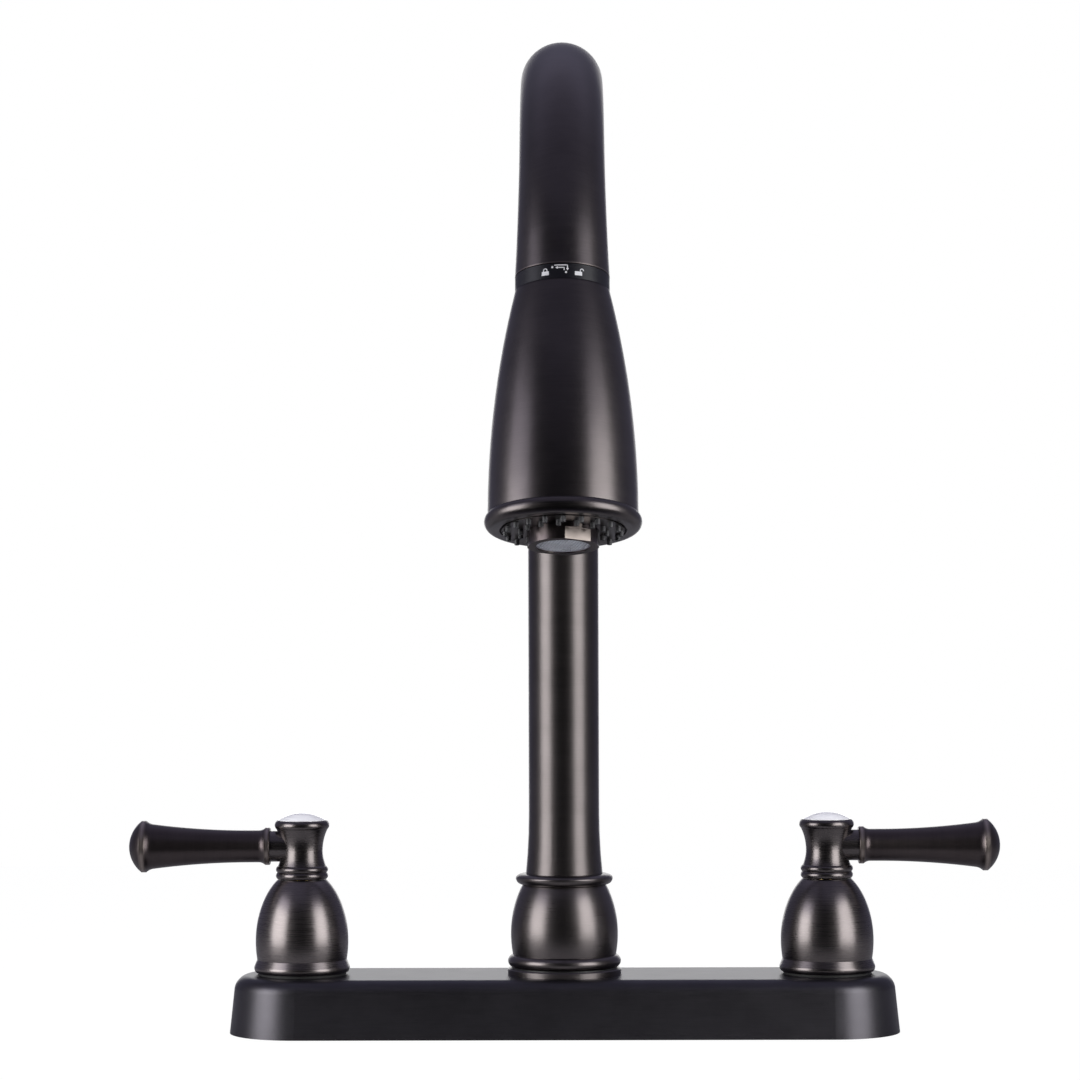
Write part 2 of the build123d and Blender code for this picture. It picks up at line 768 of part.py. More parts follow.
# ================================================================ fixed pieces of the two valves
for side, side_name in ((-1, "left"), (1, "right")):
    x = side * valve_x

    with BuildPart() as valve_body:
        extrude(disc(level(-shank_length, x), shank_r), amount=shank_length + mixing_base_z)
        extrude(disc(level(mixing_base_z, x), valve_block_r), amount=plate_inside_z - mixing_base_z)
        extrude(disc(level(plate_inside_z, x), stub_r), amount=stub_top - plate_inside_z)
        with BuildSketch(Plane.YZ.offset(side * valve_port_x)):
            with Locations((0, port_z)):
                Circle(port_boss_r)
        extrude(amount=side * (valve_x - valve_port_x))
        extrude(disc(level(-shank_length, x), inlet_bore_r), amount=stub_top, mode=Mode.SUBTRACT)
        extrude(
            disc(level(seat_z, x), cartridge_bore_r),
            amount=stub_top,
            mode=Mode.SUBTRACT,
        )
        with BuildSketch(Plane.YZ.offset(side * valve_port_x)):
            with Locations((0, port_z)):
                Circle(tube_r - tube_wall)
        extrude(amount=side * (valve_x - valve_port_x), mode=Mode.SUBTRACT)
        with BuildSketch(Plane.YZ.offset(side * valve_port_x)):
            with Locations((0, port_z)):
                Circle(tube_r + slip_fit)
        extrude(amount=side * socket_depth, mode=Mode.SUBTRACT)
        extrude(
            disc(
                level(-shank_length + supply_thread_length, x),
                shank_r + hole_play,
                shank_r - relief_depth,
            ),
            amount=relief_height,
            mode=Mode.SUBTRACT,
        )
    valve_body.part.label = f"{side_name}_valve_body"
    export_step(valve_body.part, f"parts/{side_name}_valve_body.step")

    # The bell screws onto the neck of the sleeve and hides valve and bonnet nut.
    with BuildPart() as bell:
        crease_r = egg_r(bell_crease_z - bell_belly_z, bell_belly_r, bell_half_height)
        top_r = egg_r(bell_top - bell_belly_z, bell_belly_r, bell_half_height)
        start_angle = degrees(asin((bell_crease_z - bell_belly_z) / bell_half_height))
        end_angle = degrees(asin((bell_top - bell_belly_z) / bell_half_height))
        with BuildSketch(upright_profile(x)):
            with BuildLine():
                Line((0, bell_z), (bell_foot_r - bell_foot_edge / 2, bell_z))
                ThreePointArc(
                    (bell_foot_r - bell_foot_edge / 2, bell_z),
                    (bell_foot_r, bell_z + bell_foot_edge),
                    (bell_foot_r - bell_foot_tuck, bell_z + 2 * bell_foot_edge),
                )
                Line(
                    (bell_foot_r - bell_foot_tuck, bell_z + 2 * bell_foot_edge),
                    (crease_r, bell_crease_z),
                )
                EllipticalCenterArc(
                    (0, bell_belly_z),
                    bell_belly_r,
                    bell_half_height,
                    start_angle=start_angle,
                    arc_size=end_angle - start_angle,
                )
                Line((top_r, bell_top), (0, bell_top))
                Line((0, bell_top), (0, bell_z))
            make_face()
        revolve(axis=upright_axis(x))
        inside_r = bell_belly_r - bell_wall
        inside_half = bell_half_height - bell_wall
        roof_r = egg_r(bell_roof_z - bell_belly_z, inside_r, inside_half)
        floor_r = egg_r(bell_crease_z - bell_belly_z, inside_r, inside_half)
        floor_angle = degrees(asin((bell_crease_z - bell_belly_z) / inside_half))
        roof_angle = degrees(asin((bell_roof_z - bell_belly_z) / inside_half))
        with BuildSketch(upright_profile(x)):
            with BuildLine():
                Polyline(
                    (0, bell_roof_z),
                    (0, bell_z),
                    (floor_r, bell_z),
                    (floor_r, bell_crease_z),
                )
                EllipticalCenterArc(
                    (0, bell_belly_z),
                    inside_r,
                    inside_half,
                    start_angle=floor_angle,
                    arc_size=roof_angle - floor_angle,
                )
                Line((roof_r, bell_roof_z), (0, bell_roof_z))
            make_face()
        revolve(axis=upright_axis(x), mode=Mode.SUBTRACT)
        extrude(
            disc(level(bell_roof_z, x), sleeve_neck_r + slip_fit),
            amount=bell_top,
            mode=Mode.SUBTRACT,
        )
    bell.part.label = f"{side_name}_bell"
    export_step(bell.part, f"parts/{side_name}_bell.step")


# ================================================================ pairs of fixed pieces
with BuildPart() as transfer_tubes:
    for side in (-1, 1):
        with BuildSketch(Plane.YZ.offset(side * tube_start_x)):
            with Locations((0, port_z)):
                Circle(tube_r)
                Circle(tube_r - tube_wall, mode=Mode.SUBTRACT)
        extrude(amount=side * (tube_end_x - tube_start_x))
transfer_tubes.part.label = "transfer_tubes"
export_step(transfer_tubes.part, "parts/transfer_tubes.step")

# A sleeve holds the discs and guides the stem. Water leaves through its two windows.
with BuildPart() as cartridge_sleeves:
    for x in both_sides:
        extrude(disc(level(cartridge_z, x), sleeve_foot_r), amount=sleeve_seal_z - cartridge_z)
        extrude(
            disc(level(sleeve_seal_z, x), cartridge_bore_r - slip_fit),
            amount=stub_top - sleeve_seal_z,
        )
        extrude(disc(level(stub_top, x), sleeve_flange_r), amount=sleeve_flange_height)
        extrude(disc(level(stub_top, x), sleeve_neck_r), amount=sleeve_top - stub_top)
        extrude(
            disc(level(cartridge_z, x), stem_r + running_fit),
            amount=sleeve_top,
            mode=Mode.SUBTRACT,
        )
        extrude(
            disc(level(cartridge_z, x), disc_chamber_r),
            amount=disc_chamber_depth,
            mode=Mode.SUBTRACT,
        )
        extrude(
            disc(
                level(sleeve_groove_z, x),
                cartridge_bore_r + hole_play,
                cartridge_bore_r - sleeve_ring_depth,
            ),
            amount=sleeve_ring_height,
            mode=Mode.SUBTRACT,
        )
        with BuildSketch(level(sleeve_seal_z - window_height, x)):
            Rectangle(2 * valve_block_r, window_width)
        extrude(amount=window_height, mode=Mode.SUBTRACT)
cartridge_sleeves.part.label = "cartridge_sleeves"
export_step(cartridge_sleeves.part, "parts/cartridge_sleeves.step")

with BuildPart() as seat_seals:
    for x in both_sides:
        extrude(disc(level(seat_z, x), sleeve_foot_r, inlet_bore_r), amount=seal_thickness)
seat_seals.part.label = "seat_seals"
export_step(seat_seals.part, "parts/seat_seals.step")

with BuildPart() as sleeve_seals:
    for x in both_sides:
        extrude(
            disc(
                level(sleeve_groove_z + slip_fit, x),
                cartridge_bore_r - slip_fit / 2,
                cartridge_bore_r - sleeve_ring_depth + slip_fit,
            ),
            amount=sleeve_ring_height - 2 * slip_fit,
        )
sleeve_seals.part.label = "sleeve_seals"
export_step(sleeve_seals.part, "parts/sleeve_seals.step")

with BuildPart() as fixed_discs:
    for x in both_sides:
        extrude(
            disc(level(cartridge_z, x), disc_chamber_r - slip_fit),
            amount=fixed_disc_thickness,
        )
        for middle in (0, 180):
            extrude(
                sector(
                    level(cartridge_z, x),
                    disc_port_inner_r,
                    disc_port_outer_r,
                    middle - disc_port_angle / 2,
                    middle + disc_port_angle / 2,
                ),
                amount=fixed_disc_thickness,
                mode=Mode.SUBTRACT,
            )
fixed_discs.part.label = "fixed_discs"
export_step(fixed_discs.part, "parts/fixed_discs.step")

with BuildPart() as bonnet_nuts:
    for x in both_sides:
        extrude(
            hexagon(level(stub_top - bonnet_skirt, x), bonnet_flats),
            amount=bonnet_skirt + sleeve_flange_height + bonnet_cap,
        )
        extrude(
            disc(level(stub_top - bonnet_skirt, x), stub_r + slip_fit),
            amount=bonnet_skirt + sleeve_flange_height,
            mode=Mode.SUBTRACT,
        )
        extrude(
            disc(level(nut_shoulder_z, x), sleeve_neck_r + hole_play),
            amount=bonnet_cap,
            mode=Mode.SUBTRACT,
        )
bonnet_nuts.part.label = "bonnet_nuts"
export_step(bonnet_nuts.part, "parts/bonnet_nuts.step")

with BuildPart() as bell_gaskets:
    for x in both_sides:
        extrude(
            disc(level(deck_top, x), bell_gasket_r, stub_r + hole_play),
            amount=bell_gasket_thickness,
        )
bell_gaskets.part.label = "bell_gaskets"
export_step(bell_gaskets.part, "parts/bell_gaskets.step")

with BuildPart() as deck_washers:
    for x in both_sides:
        extrude(
            disc(
                level(-deck_thickness - washer_thickness, x),
                washer_r,
                shank_r + hole_play,
            ),
            amount=washer_thickness,
        )
deck_washers.part.label = "deck_washers"
export_step(deck_washers.part, "parts/deck_washers.step")

with BuildPart() as lock_nuts:
    for x in both_sides:
        extrude(
            hexagon(level(lock_nut_z, x), lock_nut_flats, shank_r + slip_fit),
            amount=lock_nut_height,
        )
lock_nuts.part.label = "lock_nuts"
export_step(lock_nuts.part, "parts/lock_nuts.step")

# ================================================================ lever handles
for side, side_name in ((-1, "left"), (1, "right")):
    x = side * valve_x
    lever_axis = Axis((x, 0, lever_z), (side, 0, 0))
    # Local x is the distance from the valve axis, local y is the radius of the lever.
    lever_profile = Plane(origin=(x, 0, lever_z), x_dir=(side, 0, 0), z_dir=(0, -side, 0))

    with BuildPart() as lever_hub:
        first_bead_z = handle_z + bead_height
        second_bead_z = handle_z + 2 * bead_height
        waist_z = handle_z + hub_waist_rise
        with BuildSketch(upright_profile(x)):
            with BuildLine():
                Line((0, handle_z), (bead_groove_r, handle_z))
                ThreePointArc(
                    (bead_groove_r, handle_z),
                    (bead_r, handle_z + bead_height / 2),
                    (bead_groove_r, first_bead_z),
                )
                ThreePointArc(
                    (bead_groove_r, first_bead_z),
                    (bead_r, first_bead_z + bead_height / 2),
                    (hub_neck_r, second_bead_z),
                )
                TangentArc((hub_waist_r, waist_z), (hub_neck_r, second_bead_z), tangent=(0, -1))
                TangentArc(
                    (hub_waist_r, waist_z),
                    (hub_lip_start_r, handle_z + hub_lip_start_rise),
                    tangent=(0, 1),
                )
                ThreePointArc(
                    (hub_lip_start_r, handle_z + hub_lip_start_rise),
                    (hub_lip_r, handle_z + hub_lip_rise),
                    (hub_rim_r, hub_top),
                )
                Line((hub_rim_r, hub_top), (0, hub_top))
                Line((0, hub_top), (0, handle_z))
            make_face()
        revolve(axis=upright_axis(x))
        with BuildSketch(lever_section(side, 0)):
            Circle(boss_r)
        extrude(amount=boss_reach)
        extrude(
            disc(level(dome_z, x), dome_r + slip_fit),
            amount=hub_height,
            mode=Mode.SUBTRACT,
        )
        extrude(
            disc(level(screw_seat_z, x), dome_plug_r + slip_fit),
            amount=hub_height,
            mode=Mode.SUBTRACT,
        )
        extrude(
            disc(level(handle_z, x), screw_r + slip_fit),
            amount=hub_height,
            mode=Mode.SUBTRACT,
        )
        extrude(
            disc(level(handle_z, x), stem_r + slip_fit),
            amount=stem_engagement,
            mode=Mode.SUBTRACT,
        )
        with BuildSketch(lever_section(side, stud_start)):
            Circle(stud_r + slip_fit)
        extrude(amount=boss_reach, mode=Mode.SUBTRACT)
    lever_hub.part.label = f"{side_name}_lever_hub"
    export_step(lever_hub.part, f"parts/{side_name}_lever_hub.step")

    with BuildPart() as lever:
        collar_edge = boss_reach + lever_collar_width
        ring_end = lever_ring_reach + lever_ring_width
        with BuildSketch(lever_profile):
            with BuildLine():
                Polyline(
                    (boss_reach, 0),
                    (boss_reach, lever_collar_r - lever_collar_edge),
                    (boss_reach + lever_collar_edge, lever_collar_r),
                    (collar_edge, lever_collar_r),
                )
                TangentArc(
                    (lever_neck_reach, lever_neck_r),
                    (collar_edge, lever_collar_r),
                    tangent=(-1, 0),
                )
                Line((lever_neck_reach, lever_neck_r), (lever_straight_reach, lever_neck_r))
                TangentArc(
                    (lever_straight_reach, lever_neck_r),
                    (lever_flare_reach, lever_flare_r),
                    tangent=(1, 0),
                )
                TangentArc(
                    (lever_flare_reach, lever_flare_r),
                    (lever_ring_reach, lever_ring_r),
                    tangent=(1, lever_flare_slope),
                )
                Line((lever_ring_reach, lever_ring_r), (ring_end, lever_ring_r))
                TangentArc((lever_reach, 0), (ring_end, lever_ring_r), tangent=(0, 1))
                Line((lever_reach, 0), (boss_reach, 0))
            make_face()
        revolve(axis=lever_axis)
        with BuildSketch(lever_section(side, boss_reach)):
            Circle(stud_r + slip_fit)
        extrude(amount=stud_start + stud_length - boss_reach, mode=Mode.SUBTRACT)
    lever.part.label = f"{side_name}_lever"
    export_step(lever.part, f"parts/{side_name}_lever.step")

    with BuildPart() as lever_stud:
        with BuildSketch(lever_section(side, stud_start)):
            Circle(stud_r)
        extrude(amount=stud_length)
    lever_stud.part.label = f"{side_name}_lever_stud"
    export_step(lever_stud.part, f"parts/{side_name}_lever_stud.step")

    # The stem turns the upper disc and carries the hub on its splined head.
    with BuildPart() as valve_stem:
        extrude(
            disc(level(stem_foot_z, x), disc_chamber_r - moving_gap),
            amount=stem_foot_height,
        )
        extrude(disc(level(stem_foot_z, x), stem_r), amount=stem_top - stem_foot_z)
        with BuildSketch(level(stem_top - spline_length, x)):
            with PolarLocations(stem_r, spline_count):
                Circle(spline_r)
        extrude(amount=spline_length, mode=Mode.SUBTRACT)
        extrude(disc(level(screw_tip_z, x), screw_r), amount=stem_top, mode=Mode.SUBTRACT)
    valve_stem.part.label = f"{side_name}_valve_stem"
    export_step(valve_stem.part, f"parts/{side_name}_valve_stem.step")

    with BuildPart() as moving_disc:
        extrude(
            disc(level(moving_disc_z, x), disc_chamber_r - moving_gap),
            amount=moving_disc_thickness,
        )
        for middle in (90, 270):
            extrude(
                sector(
                    level(moving_disc_z, x),
                    disc_port_inner_r,
                    disc_port_outer_r,
                    middle - disc_port_angle / 2,
                    middle + disc_port_angle / 2,
                ),
                amount=moving_disc_thickness,
                mode=Mode.SUBTRACT,
            )
    moving_disc.part.label = f"{side_name}_moving_disc"
    export_step(moving_disc.part, f"parts/{side_name}_moving_disc.step")

    with BuildPart() as handle_screw:
        extrude(disc(level(screw_tip_z, x), screw_r), amount=screw_length)
        extrude(disc(level(screw_seat_z, x), screw_head_r), amount=screw_head_height)
        extrude(
            hexagon(level(screw_seat_z + screw_head_height / 2, x), 1.5 * screw_r),
            amount=screw_head_height,
            mode=Mode.SUBTRACT,
        )
    handle_screw.part.label = f"{side_name}_handle_screw"
    export_step(handle_screw.part, f"parts/{side_name}_handle_screw.step")

    with BuildPart() as index_dome:
        with BuildSketch(upright_profile(x)):
            with BuildLine():
                Polyline(
                    (0, dome_z + dome_height),
                    (0, dome_z - dome_plug_length),
                    (dome_plug_r, dome_z - dome_plug_length),
                    (dome_plug_r, dome_z),
                    (dome_r, dome_z),
                    (dome_r, dome_z + dome_edge),
                )
                TangentArc(
                    (0, dome_z + dome_height),
                    (dome_r, dome_z + dome_edge),
                    tangent=(1, 0),
                )
            make_face()
        revolve(axis=upright_axis(x))
    index_dome.part.label = f"{side_name}_index_dome"
    export_step(index_dome.part, f"parts/{side_name}_index_dome.step")


# ================================================================ spout
with BuildPart() as spout_hub:
    bead_top_z = spout_hub_z + hub_bead_height
    low_r = egg_r(bead_top_z - hub_egg_z, hub_egg_r, hub_egg_half_height)
    high_r = egg_r(hub_crease_z - hub_egg_z, hub_egg_r, hub_egg_half_height)
    low_angle = degrees(asin((bead_top_z - hub_egg_z) / hub_egg_half_height))
    high_angle = degrees(asin((hub_crease_z - hub_egg_z) / hub_egg_half_height))
    with BuildSketch(upright_profile()):
        with BuildLine():
            Line((0, spout_hub_z), (hub_bead_foot_r, spout_hub_z))
            ThreePointArc(
                (hub_bead_foot_r, spout_hub_z),
                (hub_bead_r, (spout_hub_z + bead_top_z) / 2),
                (low_r, bead_top_z),
            )
            EllipticalCenterArc(
                (0, hub_egg_z),
                hub_egg_r,
                hub_egg_half_height,
                start_angle=low_angle,
                arc_size=high_angle - low_angle,
            )
            TangentArc(
                (hub_top_bead_r, hub_top_bead_z), (high_r, hub_crease_z), tangent=(0, -1)
            )
            EllipticalCenterArc(
                (hub_top_ledge_r, hub_top_bead_z),
                hub_top_bead_r - hub_top_ledge_r,
                hub_top_bead_shoulder,
                start_angle=0,
                arc_size=90,
            )
            Line((hub_top_ledge_r, hub_top_z), (0, hub_top_z))
            Line((0, hub_top_z), (0, spout_hub_z))
        make_face()
    revolve(axis=Axis.Z)
    extrude(disc(level(spout_hub_z), post_r + moving_gap), amount=hub_top_z, mode=Mode.SUBTRACT)
    extrude(disc(level(hub_ledge_z), spout_r + slip_fit), amount=hub_top_z, mode=Mode.SUBTRACT)
    with BuildSketch(Plane.XZ):
        with Locations((0, set_screw_z)):
            Circle(set_screw_r + slip_fit)
    extrude(amount=-hub_bead_r, mode=Mode.SUBTRACT)
spout_hub.part.label = "spout_hub"
export_step(spout_hub.part, "parts/spout_hub.step")

# The tube is a turned lower end, a straight post, the bend, and a bend that thickens towards
# the spray head.
growth_angles = [
    swell_start + (arch_sweep - swell_start) * step / growth_steps
    for step in range(growth_steps + 1)
]


def arch_bend(inset):
    """Solid bend of the spout, its surface drawn in by inset."""
    with BuildPart() as bend:
        extrude(disc(level(flare_top_z), spout_r - inset), amount=arch_start_z - flare_top_z)
        with BuildLine() as even_path:
            ThreePointArc(
                arch_section(0).origin,
                arch_section(swell_start / 2).origin,
                arch_section(swell_start).origin,
            )
        with BuildSketch(arch_section(0)):
            Circle(spout_r - inset)
        sweep(path=even_path.line)
        for angle in growth_angles:
            with BuildSketch(arch_section(angle)):
                Circle(arch_tube_r(angle) - inset)
        with BuildSketch(station(spout_end_length)):
            Circle(spout_end_r - inset)
        loft()
    return bend.part


with BuildPart() as spout_tube:
    with BuildSketch(upright_profile()):
        with BuildLine():
            Polyline(
                (0, flare_top_z),
                (0, hub_ledge_z),
                (spout_r, hub_ledge_z),
                (spout_r, hub_top_z),
                (flare_r, hub_top_z),
            )
            TangentArc((spout_r, flare_top_z), (flare_r, hub_top_z), tangent=(0, -1))
            Line((spout_r, flare_top_z), (0, flare_top_z))
        make_face()
    revolve(axis=Axis.Z)
    add(arch_bend(0))
    extrude(
        disc(level(hub_ledge_z), spout_bore_r),
        amount=flare_top_z - hub_ledge_z,
        mode=Mode.SUBTRACT,
    )
    add(arch_bend(spout_wall), mode=Mode.SUBTRACT)
    with BuildSketch(Plane.XZ):
        with Locations((0, set_screw_z)):
            Circle(set_screw_r + slip_fit)
    extrude(amount=-hub_bead_r, mode=Mode.SUBTRACT)
spout_tube.part.label = "spout_tube"
export_step(spout_tube.part, "parts/spout_tube.step")

set_screw_tip_y = stop_floor_r + moving_gap
set_screw_end_y = (
    egg_r(set_screw_z - hub_egg_z, hub_egg_r, hub_egg_half_height) - set_screw_depth
)
with BuildPart() as spout_set_screw:
    with BuildSketch(Plane.XZ.offset(-set_screw_tip_y)):
        with Locations((0, set_screw_z)):
            Circle(set_screw_tip_r)
    extrude(amount=-(set_screw_end_y - set_screw_tip_y))
    with BuildSketch(Plane.XZ.offset(-set_screw_tip_y - set_screw_tip_length)):
        with Locations((0, set_screw_z)):
            Circle(set_screw_r)
    extrude(amount=-(set_screw_end_y - set_screw_tip_y - set_screw_tip_length))
    with BuildSketch(Plane.XZ.offset(-set_screw_end_y)):
        with Locations((0, set_screw_z)):
            RegularPolygon(set_screw_r / 2, 6)
    extrude(amount=set_screw_tip_length, mode=Mode.SUBTRACT)
spout_set_screw.part.label = "spout_set_screw"
export_step(spout_set_screw.part, "parts/spout_set_screw.step")

# The socket is fixed in the end of the spout. Two lugs of the collar slide up its straight
# slots and lock when the head is twisted.
with BuildPart() as dock_socket:
    with BuildSketch(head_profile):
        Polygon(
            (dock_neck_r + moving_gap, dock_socket_top),
            (socket_top_r, dock_socket_top),
            (socket_end_r, spout_end_length),
            (dock_neck_r + moving_gap, spout_end_length),
            align=None,
        )
    revolve(axis=head_axis)
    for middle in (0, 180):
        extrude(
            sector(
                station(lug_top - moving_gap),
                dock_neck_r,
                slot_r,
                middle - slot_half_angle,
                middle + slot_half_angle,
            ),
            amount=spout_end_length - lug_top + moving_gap,
            mode=Mode.SUBTRACT,
        )
        extrude(
            sector(
                station(lug_top - moving_gap),
                dock_neck_r,
                slot_r,
                middle - slot_half_angle,
                middle + slot_half_angle + twist_limit,
            ),
            amount=lug_height + 2 * moving_gap,
            mode=Mode.SUBTRACT,
        )
dock_socket.part.label = "dock_socket"
export_step(dock_socket.part, "parts/dock_socket.step")

# ================================================================ hose
with BuildPart() as pull_hose:
    with BuildLine() as hose_path:
        Line((0, 0, hose_bottom_z), arch_section(0).origin)
        ThreePointArc(
            arch_section(0).origin,
            arch_section(hose_sweep / 2).origin,
            arch_section(hose_sweep).origin,
        )
    with BuildSketch(level(hose_bottom_z)):
        Circle(hose_r)
        Circle(hose_inner_r, mode=Mode.SUBTRACT)
    sweep(path=hose_path.line)
pull_hose.part.label = "pull_hose"
export_step(pull_hose.part, "parts/pull_hose.step")

with BuildPart() as hose_tail_fitting:
    tail_z = hose_bottom_z - tail_fitting_length
    tail_nut_z = hose_bottom_z - tail_nut_height
    extrude(disc(level(tail_z), tail_r, outlet_r + slip_fit), amount=tail_fitting_length)
    extrude(disc(level(tail_nut_z), outlet_r + hole_play, hose_inner_r), amount=tail_nut_height)
    extrude(
        hexagon(level(tail_nut_z), 2 * (tail_r + tail_nut_wall), tail_r - hole_play),
        amount=tail_nut_height,
    )
hose_tail_fitting.part.label = "hose_tail_fitting"
export_step(hose_tail_fitting.part, "parts/hose_tail_fitting.step")

# ================================================================ hose end, inside the head
with BuildPart() as hose_ferrule:
    extrude(
        disc(station(ferrule_top), ferrule_r, hose_r + slip_fit),
        amount=ferrule_length,
    )
hose_ferrule.part.label = "hose_ferrule"
export_step(hose_ferrule.part, "parts/hose_ferrule.step")

with BuildPart() as hose_tip:
    extrude(disc(station(ferrule_top), hose_r, hose_inner_r), amount=ferrule_length)
hose_tip.part.label = "hose_tip"
export_step(hose_tip.part, "parts/hose_tip.step")

with BuildPart() as hose_connector:
    extrude(disc(station(barb_top), hose_inner_r - slip_fit), amount=ferrule_end - barb_top)
    extrude(
        hexagon(station(ferrule_end), connector_hex_flats),
        amount=connector_hex_length,
    )
    extrude(disc(station(ferrule_end), nipple_r), amount=nipple_end - ferrule_end)
    extrude(
        disc(station(swivel_flange_top), swivel_flange_r),
        amount=swivel_flange_thickness,
    )
    extrude(
        disc(station(ring_groove_top), nipple_r + hole_play, nipple_r - nipple_ring_depth),
        amount=nipple_ring_height,
        mode=Mode.SUBTRACT,
    )
    extrude(
        disc(station(barb_top), connector_bore_r),
        amount=nipple_end - barb_top,
        mode=Mode.SUBTRACT,
    )
hose_connector.part.label = "hose_connector"
export_step(hose_connector.part, "parts/hose_connector.step")

with BuildPart() as swivel_ring:
    extrude(
        disc(
            station(ring_groove_top + slip_fit),
            nipple_r,
            nipple_r - nipple_ring_depth + slip_fit,
        ),
        amount=nipple_ring_height - 2 * slip_fit,
    )
swivel_ring.part.label = "swivel_ring"
export_step(swivel_ring.part, "parts/swivel_ring.step")

# ================================================================ spray head
with BuildPart() as lock_collar:
    extrude(disc(station(dock_neck_top), dock_neck_r), amount=collar_top - dock_neck_top)
    extrude(disc(station(collar_top), collar_r), amount=collar_length)
    extrude(disc(station(collar_end), collar_skirt_r), amount=collar_skirt_length)
    for middle in (0, 180):
        extrude(
            sector(
                station(lug_top),
                dock_neck_bore_r,
                lug_r,
                middle - lug_half_angle,
                middle + lug_half_angle,
            ),
            amount=lug_height,
        )
    extrude(
        disc(station(dock_neck_top), collar_lip_r),
        amount=collar_end + collar_skirt_length - dock_neck_top,
        mode=Mode.SUBTRACT,
    )
    extrude(
        disc(station(dock_neck_top), dock_neck_bore_r),
        amount=collar_lip_top - dock_neck_top,
        mode=Mode.SUBTRACT,
    )
    extrude(
        disc(station(collar_lip_end), dock_neck_bore_r),
        amount=collar_end + collar_skirt_length - collar_lip_end,
        mode=Mode.SUBTRACT,
    )
lock_collar.part.label = "lock_collar"
export_step(lock_collar.part, "parts/lock_collar.step")

with BuildPart() as head_shell:
    with BuildSketch(head_profile):
        with BuildLine():
            TangentArc(
                (shell_widest_r, shell_widest),
                (shell_top_r, collar_end),
                tangent=(0, -1),
            )
            Line((shell_top_r, collar_end), (shell_top_r - shell_wall, collar_end))
            TangentArc(
                (shell_widest_r - shell_wall, shell_widest),
                (shell_top_r - shell_wall, collar_end),
                tangent=(0, -1),
            )
            Polyline(
                (shell_widest_r - shell_wall, shell_widest),
                (shell_widest_r - shell_wall, shell_lower_end),
                (shell_widest_r, shell_lower_end),
                (shell_widest_r, shell_widest),
            )
        make_face()
    revolve(axis=head_axis)
head_shell.part.label = "head_shell"
export_step(head_shell.part, "parts/head_shell.step")

with BuildPart() as head_bezel:
    with BuildSketch(head_profile):
        with BuildLine():
            ThreePointArc(
                (bezel_centre_r, bezel_end),
                (bezel_r, bezel_widest),
                (shell_widest_r, bezel_shoulder),
            )
            Polyline(
                (shell_widest_r, bezel_shoulder),
                (shell_widest_r, shell_lower_end),
                (spigot_r, shell_lower_end),
                (spigot_r, shell_lower_end - bezel_spigot_length),
                (bezel_bore_r, shell_lower_end - bezel_spigot_length),
                (bezel_bore_r, bezel_lip_top),
                (bezel_lip_r, bezel_lip_top),
                (bezel_lip_r, bezel_end),
                (bezel_centre_r, bezel_end),
            )
        make_face()
    revolve(axis=head_axis)
head_bezel.part.label = "head_bezel"
export_step(head_bezel.part, "parts/head_bezel.step")

# The core leads water to the outlet, and round the spool to the ring of nozzles.
with BuildPart() as head_core:
    with BuildSketch(head_profile):
        Polygon(
            (0, core_top),
            (core_inlet_r, core_top),
            (core_inlet_r, core_top + core_inlet_length),
            (core_stem_r, core_stem_top),
            (core_stem_r, core_stem_end),
            (core_skirt_r, core_skirt_top),
            (core_skirt_r, core_end),
            (0, core_end),
            align=None,
        )
    revolve(axis=head_axis)
    extrude(
        disc(station(core_top), nipple_r + running_fit),
        amount=nipple_end + check_valve_length - core_top + 2 * slip_fit,
        mode=Mode.SUBTRACT,
    )
    extrude(disc(station(core_top), core_bore_r), amount=core_end - core_top, mode=Mode.SUBTRACT)
    extrude(
        disc(station(spool_chamber_top), spool_r + running_fit),
        amount=core_end - spool_chamber_top,
        mode=Mode.SUBTRACT,
    )
    extrude(
        disc(station(chamber_top), chamber_outer_r, chamber_inner_r),
        amount=core_end - chamber_top,
        mode=Mode.SUBTRACT,
    )
    for port in range(spray_port_count):
        with BuildSketch(outward(spray_port_station, 360 * port / spray_port_count)):
            Circle(spray_port_r)
        extrude(amount=chamber_inner_r + running_fit, mode=Mode.SUBTRACT)
head_core.part.label = "head_core"
export_step(head_core.part, "parts/head_core.step")

# A back-flow valve: a poppet on three ribs inside a ring.
with BuildPart() as check_valve:
    valve_r = nipple_r - slip_fit
    valve_bore_r = valve_r - check_valve_wall
    with BuildSketch(station(nipple_end + slip_fit)):
        Circle(valve_r)
        Circle(valve_bore_r, mode=Mode.SUBTRACT)
        Circle(check_valve_poppet_r)
        with PolarLocations(0, 3):
            with Locations((valve_bore_r / 2, 0)):
                Rectangle(valve_bore_r + check_valve_wall, check_valve_rib)
    extrude(amount=check_valve_length)
check_valve.part.label = "check_valve"
export_step(check_valve.part, "parts/check_valve.step")

with BuildPart() as nozzle_pad:
    extrude(disc(station(core_end), bezel_bore_r - slip_fit, pad_inner_r), amount=pad_thickness)
    for circle_r, count in nozzle_circles:
        with BuildSketch(station(pad_end)):
            with PolarLocations(circle_r, count):
                Circle(nozzle_root_r)
        extrude(amount=nozzle_tip - pad_end, taper=nozzle_taper)
        with BuildSketch(station(core_end)):
            with PolarLocations(circle_r, count):
                Circle(nozzle_hole_r)
        extrude(amount=nozzle_tip - core_end, mode=Mode.SUBTRACT)
nozzle_pad.part.label = "nozzle_pad"
export_step(nozzle_pad.part, "parts/nozzle_pad.step")

